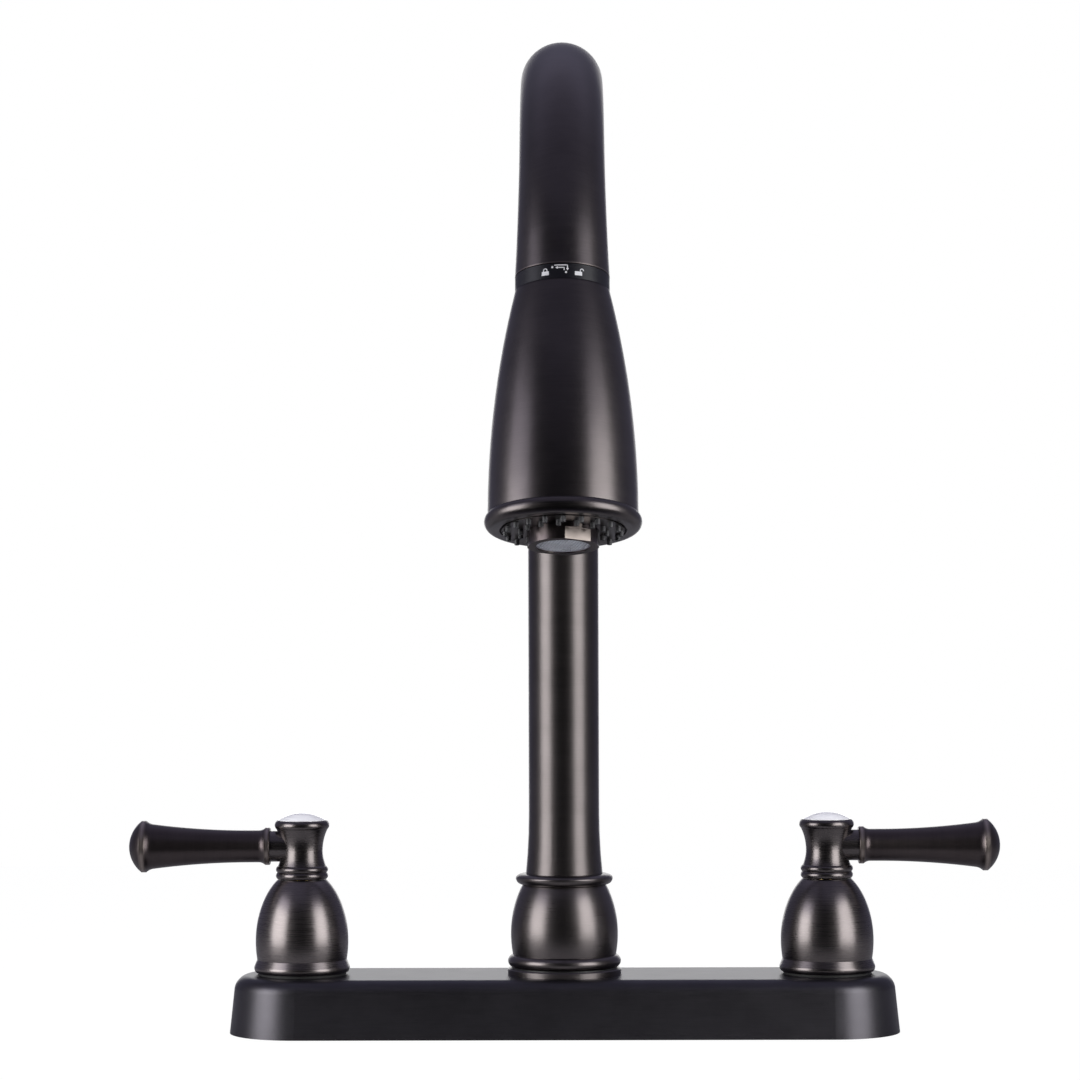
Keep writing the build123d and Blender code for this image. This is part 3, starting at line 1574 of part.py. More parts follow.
with BuildPart() as face_plate:
    extrude(
        disc(station(pad_end), bezel_bore_r - slip_fit, barrel_r + moving_gap),
        amount=bezel_lip_top - pad_end,
    )
    extrude(
        disc(station(pad_end), face_r, barrel_r + moving_gap),
        amount=face_front - pad_end,
    )
    with BuildSketch(station(pad_end)):
        for circle_r, count in nozzle_circles:
            with PolarLocations(circle_r, count):
                Circle(nozzle_root_r + nozzle_play)
    extrude(amount=face_front - pad_end, mode=Mode.SUBTRACT)
face_plate.part.label = "face_plate"
export_step(face_plate.part, "parts/face_plate.step")

# ================================================================ sliding outlet
with BuildPart() as outlet_barrel:
    extrude(disc(station(barrel_top), barrel_r), amount=barrel_end - barrel_top)
    extrude(
        disc(station(spool_seat), barrel_bore_r),
        amount=barrel_end - barrel_lip_thickness - spool_seat,
        mode=Mode.SUBTRACT,
    )
    extrude(
        disc(station(barrel_top), spool_r + slip_fit),
        amount=barrel_end - barrel_top,
        mode=Mode.SUBTRACT,
    )
    extrude(
        disc(station(barrel_end - barrel_lip_thickness), barrel_lip_r),
        amount=barrel_end,
        mode=Mode.SUBTRACT,
    )
    with BuildSketch(station(flat_top)):
        with PolarLocations(flat_distance + barrel_r / 2, 2, start_angle=flat_angle):
            Rectangle(barrel_r, 2 * barrel_r)
    extrude(amount=barrel_end, mode=Mode.SUBTRACT)
outlet_barrel.part.label = "outlet_barrel"
export_step(outlet_barrel.part, "parts/outlet_barrel.step")

with BuildPart() as diverter_spool:
    extrude(disc(station(spool_top), spool_r), amount=spool_seat - spool_top)
    extrude(
        disc(station(spool_waist_top), spool_r + hole_play, spool_waist_r),
        amount=spool_waist_length,
        mode=Mode.SUBTRACT,
    )
    extrude(
        disc(station(spool_ring_top), spool_r + hole_play, spool_r - spool_ring_depth),
        amount=spool_ring_height,
        mode=Mode.SUBTRACT,
    )
    extrude(
        disc(station(spool_top), spool_bore_r),
        amount=spool_seat - spool_top,
        mode=Mode.SUBTRACT,
    )
    for angle in (0, 90, 180, 270):
        with BuildSketch(outward((spool_waist_top + spool_waist_end) / 2, angle)):
            Circle(spray_port_r)
        extrude(amount=spool_r, mode=Mode.SUBTRACT)
diverter_spool.part.label = "diverter_spool"
export_step(diverter_spool.part, "parts/diverter_spool.step")

with BuildPart() as spool_ring:
    extrude(
        disc(
            station(spool_ring_top + slip_fit),
            spool_r,
            spool_r - spool_ring_depth + slip_fit,
        ),
        amount=spool_ring_height - 2 * slip_fit,
    )
spool_ring.part.label = "spool_ring"
export_step(spool_ring.part, "parts/spool_ring.step")

with BuildPart() as aerator_insert:
    insert_r = barrel_bore_r - slip_fit
    extrude(disc(station(spool_seat), insert_r), amount=screen_top - spool_seat)
    extrude(
        disc(station(spool_seat + aerator_plate), insert_r - aerator_wall),
        amount=screen_top - spool_seat,
        mode=Mode.SUBTRACT,
    )
    with BuildSketch(station(spool_seat)):
        with PolarLocations(spool_bore_r / 2, 6):
            Circle(screen_hole_r)
    extrude(amount=aerator_plate, mode=Mode.SUBTRACT)
aerator_insert.part.label = "aerator_insert"
export_step(aerator_insert.part, "parts/aerator_insert.step")

with BuildPart() as aerator_screen:
    with BuildSketch(station(screen_top)):
        Circle(barrel_bore_r - slip_fit)
        for ring in range(1, screen_rings + 1):
            ring_r = barrel_lip_r * ring / (screen_rings + 1)
            with PolarLocations(ring_r, 6 * ring):
                Circle(screen_hole_r, mode=Mode.SUBTRACT)
    extrude(amount=screen_thickness)
aerator_screen.part.label = "aerator_screen"
export_step(aerator_screen.part, "parts/aerator_screen.step")
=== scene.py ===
"""Looks of a two handle kitchen faucet with a pull-down head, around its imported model.

Lengths are in metres, in the frame of the model: +Z up, +X to the right, -Y towards the user,
the origin on the deck under the spout. Angles that are written as numbers are in degrees.
"""
import json
import math

import bmesh
import bpy
from mathutils import Euler, Matrix, Vector


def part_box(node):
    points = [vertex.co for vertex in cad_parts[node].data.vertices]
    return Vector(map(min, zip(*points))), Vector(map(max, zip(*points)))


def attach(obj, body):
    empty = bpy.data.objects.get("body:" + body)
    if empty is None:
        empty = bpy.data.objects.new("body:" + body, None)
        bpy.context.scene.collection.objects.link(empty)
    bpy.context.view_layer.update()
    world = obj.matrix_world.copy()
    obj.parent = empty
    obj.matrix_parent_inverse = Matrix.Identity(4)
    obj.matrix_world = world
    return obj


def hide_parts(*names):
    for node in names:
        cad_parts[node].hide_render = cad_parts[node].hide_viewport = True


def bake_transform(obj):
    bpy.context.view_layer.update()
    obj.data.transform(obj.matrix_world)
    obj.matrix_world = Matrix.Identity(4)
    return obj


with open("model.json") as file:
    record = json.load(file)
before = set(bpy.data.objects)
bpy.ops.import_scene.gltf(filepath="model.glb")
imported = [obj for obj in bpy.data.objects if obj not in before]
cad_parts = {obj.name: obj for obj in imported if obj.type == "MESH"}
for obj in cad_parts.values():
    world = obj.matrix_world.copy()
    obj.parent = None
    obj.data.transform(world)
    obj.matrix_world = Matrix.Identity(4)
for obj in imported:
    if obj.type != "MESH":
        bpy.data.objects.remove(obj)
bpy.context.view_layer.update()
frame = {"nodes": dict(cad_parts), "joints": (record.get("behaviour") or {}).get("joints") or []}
nodes = frame["nodes"]
joints = {joint["name"]: joint for joint in frame["joints"]}

mm = 0.001
inch = 25.4 * mm

# ---------------------------------------------------------------- places taken from the frame
head_axis = Vector(joints["hose_pull"]["axis"]).normalized()
head_side = Vector((1, 0, 0))
head_front = head_axis.cross(head_side)  # square to the axis, towards the user
arch_end = Vector(joints["head_twist"]["pos_m"])
head_tilt = math.atan2(-head_axis.y, -head_axis.z)
valve_x = joints["right_handle_turn"]["pos_m"][0]

# The bend of the spout turns round a level axis in front of the post. A turn by 180 degrees
# less the head's tilt ends in the arch's end, which gives its radius and its start.
bend_angle = math.pi - head_tilt
bend_radius = -arch_end.y / (1 - math.cos(bend_angle))
bend_start_z = arch_end.z - bend_radius * math.sin(bend_angle)
front_half_y = arch_end.y / 2  # the arch's front half is before it, the post behind


def along_head(point):
    """Distance of a point along the head's axis, from the end of the arch."""
    return (Vector(point) - arch_end).dot(head_axis)


def head_span(node):
    """First and last distance of a node along the head's axis."""
    places = [along_head(vertex.co) for vertex in nodes[node].data.vertices]
    return min(places), max(places)


def head_radius(node):
    """Largest distance of a node from the head's axis."""
    return max(
        (vertex.co - arch_end - head_axis * along_head(vertex.co)).length
        for vertex in nodes[node].data.vertices
    )


def head_point(along, radius, turn):
    """Point round the head's axis. Turn 0 faces the user, positive goes to the right."""
    way = head_front * math.cos(turn) + head_side * math.sin(turn)
    return arch_end + head_axis * along + way * radius


spout_end = max(
    along_head(vertex.co)
    for vertex in nodes["spout_tube"].data.vertices
    if vertex.co.y < front_half_y
)
shell_start = head_span("head_shell")[0]


# ================================================================ materials
class NodeTree:
    """Short calls for the nodes of a material or world. An input is a socket or a number."""

    def __init__(self, owner):
        owner.use_nodes = True
        self.tree = owner.node_tree
        self.tree.nodes.clear()

    def node(self, kind, **settings):
        made = self.tree.nodes.new(kind)
        for key, value in settings.items():
            setattr(made, key, value)
        return made

    def link(self, source, target):
        if isinstance(source, bpy.types.NodeSocket):
            self.tree.links.new(source, target)
        else:
            target.default_value = source

    def math(self, operation, *values):
        made = self.node("ShaderNodeMath", operation=operation)
        for value, target in zip(values, made.inputs):
            self.link(value, target)
        return made.outputs[0]

    def split(self, vector):
        """The three numbers of a vector."""
        made = self.node("ShaderNodeSeparateXYZ")
        self.link(vector, made.inputs[0])
        return tuple(made.outputs)

    def spread(self, value, low, high, from_low=0.3, from_high=0.7, interpolation="LINEAR"):
        """Maps a value from one range to another, without going past its ends."""
        made = self.node("ShaderNodeMapRange", interpolation_type=interpolation)
        for number, target in zip((value, from_low, from_high, low, high), made.inputs):
            self.link(number, target)
        return made.outputs[0]

    def add_shaders(self, first, second):
        made = self.node("ShaderNodeAddShader")
        self.link(first, made.inputs[0])
        self.link(second, made.inputs[1])
        return made.outputs[0]

    def mix_shaders(self, share, first, second):
        """The first shader, and the second where the share is 1."""
        made = self.node("ShaderNodeMixShader")
        for value, target in zip((share, first, second), made.inputs):
            self.link(value, target)
        return made.outputs[0]


class Shader(NodeTree):
    """A material with one principled surface."""

    def __init__(self, name):
        self.material = bpy.data.materials.new(name)
        super().__init__(self.material)
        self.output = self.node("ShaderNodeOutputMaterial")
        self.surface = self.node("ShaderNodeBsdfPrincipled")
        self.link(self.surface.outputs["BSDF"], self.output.inputs["Surface"])

    def set(self, **values):
        """Sets or links sockets of the surface: base_color stands for Base Color."""
        for key, value in values.items():
            name = key.replace("_", " ").title().replace("Ior", "IOR")
            if isinstance(value, tuple) and len(value) == 3:
                value = (*value, 1.0)
            self.link(value, self.surface.inputs[name])
        return self

    def place(self):
        """The point in the frame of the part, in metres."""
        return self.node("ShaderNodeTexCoord").outputs["Object"]

    def facing(self):
        """The way that the surface faces, in the frame of the part."""
        return self.node("ShaderNodeTexCoord").outputs["Normal"]

    def vector(self, x, y, z):
        made = self.node("ShaderNodeCombineXYZ")
        for value, target in zip((x, y, z), made.inputs):
            self.link(value, target)
        return made.outputs[0]

    def noise(self, vector, size, detail=2.0, roughness=0.5):
        """Noise from 0 to 1, with spots of about that size."""
        made = self.node("ShaderNodeTexNoise")
        self.link(vector, made.inputs["Vector"])
        made.inputs["Scale"].default_value = 1 / size
        made.inputs["Detail"].default_value = detail
        made.inputs["Roughness"].default_value = roughness
        return made.outputs["Fac"]

    def colours(self, factor, first, second):
        """The first colour, and the second where the factor is 1."""
        made = self.node("ShaderNodeMix", data_type="RGBA")
        self.link(factor, made.inputs["Factor"])
        for colour, target in ((first, made.inputs[6]), (second, made.inputs[7])):
            self.link((*colour, 1.0) if isinstance(colour, tuple) else colour, target)
        return made.outputs[2]

    def bump(self, height, distance, strength, normal=None):
        made = self.node("ShaderNodeBump")
        made.inputs["Distance"].default_value = distance
        made.inputs["Strength"].default_value = strength
        self.link(height, made.inputs["Height"])
        if normal is not None:
            self.link(normal, made.inputs["Normal"])
        return made.outputs[0]


def shade(colour, factor):
    return tuple(channel * factor for channel in colour)


bronze_colour = (0.104, 0.093, 0.092)
cool_bronze = (0.086, 0.082, 0.091)
warm_bronze = (0.107, 0.089, 0.090)
# Painted highlight on the rim at the spout's end and on the levers' crests, where edges catch the
# lamps.
painted_highlight_colour = (0.36, 0.31, 0.28)
# Painted highlight on the outlet's wrench flat.
flat_highlight_colour = (0.195, 0.170, 0.156)
# Painted shade in the groove between the collar and the head shell.
seam_shade_colour = (0.010, 0.009, 0.010)
brass_colour = (0.80, 0.60, 0.30)

line_width = 0.20 * mm  # of the brush lines
line_reach = 10 * mm  # how far a brush line runs
line_relief = 0.006 * mm
cloud_size = 16 * mm  # of the lighter patches
cloud_share, line_share = 0.6, 0.4  # of clouds and lines in the wear
worn_range = (0.36, 0.64)  # wear at which the bronze is darkest and lightest
worn_darkest, worn_lightest = 0.90, 1.12
band_share = 0.8  # how much of its colour a band shows at its middle
flat_range = (0.993, 0.998)  # cosine to a milled flat's way at its rim and on it


def brush_vector(shader, form):
    """Coordinates in which noise lies as brush lines: round a turned piece, along the plate."""
    x, y, z = shader.split(shader.place())
    squeeze = line_width / line_reach
    if form == "plate":
        return shader.vector(shader.math("MULTIPLY", x, squeeze), y, z)
    squeezed_y = shader.math("MULTIPLY", y, squeeze)
    if form == "lever":
        return shader.vector(x, squeezed_y, shader.math("MULTIPLY", z, squeeze))
    if form == "head":
        down = shader.math("MULTIPLY", z, head_axis.z)
        along = shader.math("MULTIPLY_ADD", y, head_axis.y, down)
    elif form == "spout":
        above = shader.math("SUBTRACT", z, bend_start_z)
        rise = shader.math("MAXIMUM", above, 0.0)
        turn = shader.math("ARCTAN2", rise, shader.math("ADD", y, bend_radius))
        straight = shader.math("MINIMUM", above, 0.0)
        along = shader.math("MULTIPLY_ADD", turn, bend_radius, straight)
    else:
        along = z
    return shader.vector(shader.math("MULTIPLY", x, squeeze), squeezed_y, along)


def band_shares(shader, form, bands):
    """1 in the middle of the bands of painted highlight or shade, given as (place, half width)
    along the piece, and 0 beside.
    """
    x, y, z = shader.split(shader.place())
    if form == "lever":
        along = shader.math("ABSOLUTE", x)
    else:
        down = shader.math("MULTIPLY_ADD", z, head_axis.z, -arch_end.dot(head_axis))
        along = shader.math("MULTIPLY_ADD", y, head_axis.y, down)
    share = 0.0
    for middle, half_width in bands:
        away = shader.math("ABSOLUTE", shader.math("SUBTRACT", along, middle))
        share = shader.math("MAXIMUM", share, shader.spread(away, 1.0, 0.0, 0.0, half_width))
    if form == "spout":
        share = shader.math("MULTIPLY", share, shader.math("LESS_THAN", y, front_half_y))
    return share


def bronze(name, form, colour, roughness, line_depth=1.0, bands=(), band_colour=None, flat=None):
    """Dark oil-rubbed bronze with fine brush lines and faint clouds of lighter metal.

    It has a painted highlight at the bands, or painted shade where they have a colour of their
    own, and a painted highlight on a wrench flat, given by the way that it faces.
    """
    shader = Shader(name)
    lines = shader.noise(brush_vector(shader, form), line_width, detail=3.0, roughness=0.65)
    clouds = shader.noise(shader.place(), cloud_size, detail=3.0)
    line_wear = shader.math("MULTIPLY", lines, line_share)
    worn = shader.math("MULTIPLY_ADD", clouds, cloud_share, line_wear)
    tone = shader.colours(
        shader.spread(worn, 0.0, 1.0, *worn_range),
        shade(colour, worn_darkest),
        shade(colour, worn_lightest),
    )
    # Painted highlight at the bands, or painted shade where a band has a colour of its own.
    if bands:
        share = shader.math("MULTIPLY", band_shares(shader, form, bands), band_share)
        tone = shader.colours(share, tone, band_colour or painted_highlight_colour)
    # Painted highlight on the wrench flat.
    if flat is not None:
        cosine = shader.node("ShaderNodeVectorMath", operation="DOT_PRODUCT")
        shader.link(shader.facing(), cosine.inputs[0])
        cosine.inputs[1].default_value = flat
        flat_highlight = shader.spread(cosine.outputs["Value"], 0.0, 1.0, *flat_range)
        tone = shader.colours(flat_highlight, tone, flat_highlight_colour)
    smooth, rough = roughness - 0.03, roughness + 0.04
    return shader.set(
        base_color=tone,
        metallic=1.0,
        roughness=shader.spread(lines, smooth, rough),
        normal=shader.bump(lines, distance=line_relief * line_depth, strength=0.55),
    ).material


tool_line = 0.5 * mm
tool_squeeze = 0.05  # how much slower a tool line changes round the piece than along it
tool_relief = 0.02 * mm
stain_size = 9 * mm
stain_shade = 0.8
stain_roughness = 0.12  # more than beside the stain
thread_relief = 0.45 * mm
shank_pitch = inch / 14


def turned_metal(name, colour, roughness, thread_pitch=None):
    """Bare metal from a lathe, with level tool lines and, if it has a pitch, a thread."""
    shader = Shader(name)
    place = shader.place()
    x, y, z = shader.split(place)
    round_x = shader.math("MULTIPLY", x, tool_squeeze)
    round_y = shader.math("MULTIPLY", y, tool_squeeze)
    rings = shader.noise(shader.vector(round_x, round_y, z), tool_line)
    stain = shader.noise(place, stain_size, detail=4.0)
    surface = shader.bump(rings, distance=tool_relief, strength=0.5)
    if thread_pitch is not None:
        flank = shader.math("PINGPONG", shader.math("MULTIPLY", z, 2 / thread_pitch), 1.0)
        surface = shader.bump(flank, distance=thread_relief, strength=0.9, normal=surface)
    stained = shade(colour, stain_shade)
    return shader.set(
        base_color=shader.colours(shader.spread(stain, 0.0, 1.0), stained, colour),
        metallic=1.0,
        roughness=shader.spread(stain, roughness, roughness + stain_roughness),
        normal=surface,
    ).material


grain_size = 0.35 * mm
moulded_cloud_size = 11 * mm


def moulded(name, colour, roughness, relief=0.02 * mm, specular=0.5):
    """Plastic or rubber with a fine moulded grain and faint clouding."""
    shader = Shader(name)
    place = shader.place()
    grain = shader.noise(place, grain_size, detail=2.0)
    clouds = shader.noise(place, moulded_cloud_size, detail=3.0)
    darker, lighter = shade(colour, 0.9), shade(colour, 1.1)
    smooth, rough = roughness - 0.03, roughness + 0.05
    return shader.set(
        base_color=shader.colours(shader.spread(clouds, 0.0, 1.0), darker, lighter),
        roughness=shader.spread(clouds, smooth, rough),
        specular_ior_level=specular,
        normal=shader.bump(grain, distance=relief, strength=0.6),
    ).material


def porcelain(name, colour):
    """Polished white cap: clear gloss over a faint waviness."""
    shader = Shader(name)
    waves = shader.noise(shader.place(), size=3 * mm, detail=1.0)
    darker = shade(colour, 0.97)
    return shader.set(
        base_color=shader.colours(shader.spread(waves, 0.0, 1.0), darker, colour),
        roughness=0.16,
        coat_weight=0.6,
        coat_roughness=0.05,
        normal=shader.bump(waves, distance=0.01 * mm, strength=0.4),
    ).material


# Way that the wrench flat of the outlet faces: to the user and a little to the right.
flat_turn = math.radians(63)
flat_way = head_side * math.cos(flat_turn) + head_front * math.sin(flat_turn)

# Crests of a lever with a painted highlight: distance from the valve's axis, and half width.
lever_crest_highlights = [(13.3 * mm, 1.3 * mm), (61.3 * mm, 1.5 * mm)]
# Painted highlight on the rim at the spout's end.
spout_rim_highlight_half = 0.55 * mm  # half width of the bright rim at the spout's end
# Painted shade in the groove between the collar and the head shell.
shell_seam_shade_half = 0.7 * mm  # half width of the dark seam over the head shell

# Each piece's bronze against its colour above: more than 1 is lighter, less than 1 darker.
# The levers' darker copy is painted shade.
left_bell_bronze = shade(bronze_colour, 1.55)
right_bell_bronze = shade(bronze_colour, 1.32)
hub_bronze = shade(bronze_colour, 1.25)
egg_bronze = shade(bronze_colour, 1.22)
# Darker copy of the bronze on the levers: painted shade.
shaded_lever_bronze = shade(warm_bronze, 0.72)
plate_bronze = shade(cool_bronze, 0.85)

finishes = {
    "spout": bronze(
        "bronze_spout",
        "spout",
        bronze_colour,
        roughness=0.325,
        # painted highlight on the rim at the spout's end
        bands=[(spout_end, spout_rim_highlight_half)],
    ),
    "head": bronze(
        "bronze_head",
        "head",
        bronze_colour,
        roughness=0.31,
        line_depth=1.2,
        # painted shade in the groove under the collar
        bands=[(shell_start, shell_seam_shade_half)],
        band_colour=seam_shade_colour,
    ),
    # The barrel has a painted highlight on its wrench flat.
    "barrel": bronze("bronze_barrel", "head", warm_bronze, roughness=0.32, flat=flat_way),
    "left_bell": bronze(
        "bronze_left_bell", "upright", left_bell_bronze, roughness=0.28, line_depth=0.5
    ),
    "right_bell": bronze(
        "bronze_right_bell", "upright", right_bell_bronze, roughness=0.28, line_depth=0.5
    ),
    "hub": bronze("bronze_hub", "upright", hub_bronze, roughness=0.27, line_depth=0.35),
    "egg": bronze("bronze_egg", "upright", egg_bronze, roughness=0.30, line_depth=0.6),
    "lever": bronze(
        "bronze_lever",
        "lever",
        shaded_lever_bronze,
        roughness=0.34,
        # painted highlights on the lever's crests
        bands=[(valve_x + away, half_width) for away, half_width in lever_crest_highlights],
    ),
    "plate": bronze("bronze_plate", "plate", plate_bronze, roughness=0.38),
    "brass": turned_metal("raw_brass", brass_colour, roughness=0.26),
    "threaded_brass": turned_metal(
        "threaded_brass", brass_colour, roughness=0.26, thread_pitch=shank_pitch
    ),
    "copper": turned_metal("copper", (0.86, 0.48, 0.33), roughness=0.24),
    "steel": turned_metal("stainless_steel", (0.62, 0.62, 0.64), roughness=0.24),
    "rubber": moulded("black_rubber", (0.018, 0.018, 0.018), roughness=0.62),
    "nozzle": moulded(
        "grey_silicone", (0.085, 0.085, 0.090), roughness=0.48, relief=0.012 * mm
    ),
    "black_plastic": moulded("black_acetal", (0.020, 0.020, 0.021), roughness=0.42),
    "collar": moulded(
        "collar_acetal", (0.0065, 0.0062, 0.0095), roughness=0.38, specular=0.35
    ),
    "white_plastic": moulded("white_acetal", (0.78, 0.78, 0.76), roughness=0.38),
    "disc": moulded("disc_ceramic", (0.86, 0.85, 0.82), roughness=0.22, relief=0.005 * mm),
    "dome": porcelain("white_dome", (0.93, 0.93, 0.93)),
}

node_finishes = {
    "spout": ["spout_tube"],
    "head": ["head_shell", "head_bezel", "face_plate"],
    "barrel": ["outlet_barrel"],
    "left_bell": ["left_bell"],
    "right_bell": ["right_bell"],
    "hub": ["left_lever_hub", "right_lever_hub"],
    "egg": ["spout_hub", "spout_base_ring"],
    "lever": ["left_lever", "right_lever"],
    "plate": ["deck_plate"],
    "brass": [
        "mixing_body",
        "spout_post",
        "cartridge_sleeves",
        "bonnet_nuts",
        "lock_nuts",
        "left_valve_stem",
        "right_valve_stem",
        "hose_tail_fitting",
        "hose_connector",
    ],
    "threaded_brass": ["left_valve_body", "right_valve_body"],
    "copper": ["transfer_tubes", "outlet_nipple"],
    "steel": [
        "hose_guide_tube",
        "deck_washers",
        "left_lever_stud",
        "right_lever_stud",
        "left_handle_screw",
        "right_handle_screw",
        "spout_set_screw",
        "hose_ferrule",
        "aerator_screen",
    ],
    "rubber": [
        "deck_gasket",
        "seat_seals",
        "sleeve_seals",
        "bell_gaskets",
        "swivel_ring",
        "spool_ring",
    ],
    "nozzle": ["nozzle_pad"],
    "collar": ["lock_collar"],
    "black_plastic": [
        "dock_socket",
        "head_core",
        "diverter_spool",
        "aerator_insert",
        "thrust_washer",
    ],
    "white_plastic": ["swivel_bushings", "hose_liner", "check_valve"],
    "disc": ["fixed_discs", "left_moving_disc", "right_moving_disc"],
    "dome": ["left_index_dome", "right_index_dome"],
}
for finish, names in node_finishes.items():
    for name in names:
        mesh = nodes[name].data
        mesh.materials.clear()
        mesh.materials.append(finishes[finish])


# ================================================================ mesh helpers
def new_piece(name, form, material, body=None, smooth=True):
    """Turns a bmesh into a piece, which rides on its body if that is given."""
    bmesh.ops.recalc_face_normals(form, faces=form.faces)
    mesh = bpy.data.meshes.new(name)
    form.to_mesh(mesh)
    form.free()
    for face in mesh.polygons:
        face.use_smooth = smooth
    mesh.materials.append(material)
    piece = bpy.data.objects.new(name, mesh)
    bpy.context.scene.collection.objects.link(piece)
    if body is not None:
        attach(piece, body)
    return piece


def add_loft(form, rings, closed=False):
    """Joins rings of points, all with the same count, into a skin with a cap at both ends.

    A closed skin has no caps: its last ring joins its first.
    """
    rows = [[form.verts.new(point) for point in ring] for ring in rings]
    count = len(rows[0])
    following = rows[1:] + rows[:1] if closed else rows[1:]
    for low, high in zip(rows, following):
        for i in range(count):
            j = (i + 1) % count
            form.faces.new((low[i], low[j], high[j], high[i]))
    if not closed:
        form.faces.new(rows[0])
        form.faces.new(rows[-1])


def circle_at(centre, direction, radius, sides, side_way):
    """Ring of points round a centre, square to a direction."""
    across = side_way - direction * side_way.dot(direction)
    across.normalize()
    other = direction.cross(across)
    ring = []
    for i in range(sides):
        turn = 2 * math.pi * i / sides
        spoke = across * (radius * math.cos(turn))
        ring.append(centre + spoke + other * (radius * math.sin(turn)))
    return ring


def add_tube(form, path, radius, sides, side_way=head_side):
    """Skin of one radius along a path of points."""
    rings = []
    for i, point in enumerate(path):
        before = path[max(i - 1, 0)]
        after = path[min(i + 1, len(path) - 1)]
        rings.append(circle_at(point, (after - before).normalized(), radius, sides, side_way))
    add_loft(form, rings)


# ================================================================ hose
hose_r = 6 * mm
hose_sides = 32
hose_bottom_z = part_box("pull_hose")[0].z
merge_length = 50 * mm  # of the bend's end, over which the hose comes to the head's axis
bend_steps = 36
merge_steps = 12
stretch_start = -20 * mm  # along the head's axis
stretch_end = head_span("hose_tip")[0]
stretch_steps = 120


def bend_point(turn):
    """Point of the spout's centre line after a turn round the bend."""
    return Vector(
        (0, bend_radius * (math.cos(turn) - 1), bend_start_z + bend_radius * math.sin(turn))
    )


def bend_way(turn):
    """Way of the spout's centre line after a turn round the bend."""
    return Vector((0, -math.sin(turn), math.cos(turn)))


def hose_path():
    """Up the post, round the bend and, near its end, over to the head's axis."""
    straight = [Vector((0, 0, hose_bottom_z)), Vector((0, 0, bend_start_z / 2))]
    leave = bend_angle - merge_length / bend_radius
    bend = [bend_point(leave * i / bend_steps) for i in range(bend_steps + 1)]
    start = bend[-1]
    end = arch_end + head_axis * stretch_start
    reach = (end - start).length / 3
    first = start + bend_way(leave) * reach
    second = end - head_axis * reach
    merge = []
    for i in range(1, merge_steps + 1):
        a = i / merge_steps
        b = 1 - a
        merge.append(
            start * b**3 + first * (3 * b * b * a) + second * (3 * b * a * a) + end * a**3
        )
    return straight + bend + merge


braid_strands = 14.0
braid_pitch = 2.6 * mm  # along the hose
strand_colours = ((0.012, 0.012, 0.013), (0.055, 0.055, 0.060))  # between strands and on them


def braid():
    """Black nylon sleeve, braided in diamonds. The turn comes from the surface's own direction."""
    shader = Shader("braided_sleeve")
    z = shader.split(shader.place())[2]
    facing_x, facing_y, _ = shader.split(shader.facing())
    turn = shader.math("ARCTAN2", facing_x, facing_y)
    waves = []
    for side in (-1.0, 1.0):
        round_phase = shader.math("MULTIPLY", turn, braid_strands * side)
        rise_phase = shader.math("MULTIPLY", z, 2 * math.pi / braid_pitch)
        waves.append(shader.math("SINE", shader.math("ADD", round_phase, rise_phase)))
    weave = shader.math("MAXIMUM", waves[0], waves[1])
    on_strand = shader.spread(weave, 0.0, 1.0, from_low=-0.2, from_high=0.9)
    return shader.set(
        base_color=shader.colours(on_strand, *strand_colours),
        roughness=0.5,
        normal=shader.bump(weave, distance=0.25 * mm, strength=0.8),
    ).material


sleeve = braid()
form = bmesh.new()
add_tube(form, hose_path(), hose_r, hose_sides)
hose_run = new_piece("hose_run", form, sleeve, "spout")
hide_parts("pull_hose")

form = bmesh.new()
stretch_from = arch_end + head_axis * stretch_start
stretch_to = arch_end + head_axis * stretch_end
path = [stretch_from.lerp(stretch_to, i / stretch_steps) for i in range(stretch_steps + 1)]
add_tube(form, path, hose_r, hose_sides)
hose_stretch = new_piece("hose_stretch", form, sleeve)
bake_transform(hose_stretch)


# ================================================================ woven screen of the aerator
screen_start, screen_end = head_span("aerator_screen")
screen_r = head_radius("aerator_screen")
wire_count = 27
wire_r = 0.13 * mm
wire_sides = 5
wire_steps = 3  # along a wire, from one crossing to the next
wire_pitch = 2 * screen_r / wire_count
weave_turn = math.radians(30)
steel_wire = turned_metal("bright_wire", (0.90, 0.92, 0.98), roughness=0.50)

rim_width = 1.2 * mm
rim_over, rim_under = 0.1 * mm, 0.15 * mm  # how far it stands out of the screen
rim_steps = 72
pale_rim = moulded("pale_acetal", (0.55, 0.55, 0.62), roughness=0.40, relief=0.006 * mm)


def woven_screen():
    """Wires in two layers, each of which goes over and under those of the other."""
    form = bmesh.new()
    centre = arch_end + head_axis * ((screen_start + screen_end) / 2)
    first_way = head_side * math.cos(weave_turn) + head_front * math.sin(weave_turn)
    second_way = head_front * math.cos(weave_turn) - head_side * math.sin(weave_turn)
    layers = ((first_way, second_way), (second_way, first_way))
    half = wire_count // 2
    for layer, (along_way, across_way) in enumerate(layers):
        for i in range(-half, half + 1):
            across = i * wire_pitch
            reach = math.sqrt(max(screen_r**2 - across**2, 0.0)) - wire_r
            steps = max(int(2 * reach / wire_pitch * wire_steps), wire_steps)
            path = []
            for k in range(steps + 1):
                along = -reach + 2 * reach * k / steps
                wave = math.cos(math.pi * (along / wire_pitch + i + layer))
                level = centre + across_way * across + along_way * along
                path.append(level + head_axis * (wave * wire_r))
            add_tube(form, path, wire_r, wire_sides, across_way)
    return form


def screen_rim():
    """Square ring round the screen."""
    form = bmesh.new()
    inner_r = screen_r - rim_width
    low, high = screen_start - rim_over, screen_end + rim_under
    section = [(low, screen_r), (low, inner_r), (high, inner_r), (high, screen_r)]
    rings = []
    for k in range(rim_steps):
        turn = 2 * math.pi * k / rim_steps
        rings.append([head_point(along, radius, turn) for along, radius in section])
    add_loft(form, rings, closed=True)
    return form


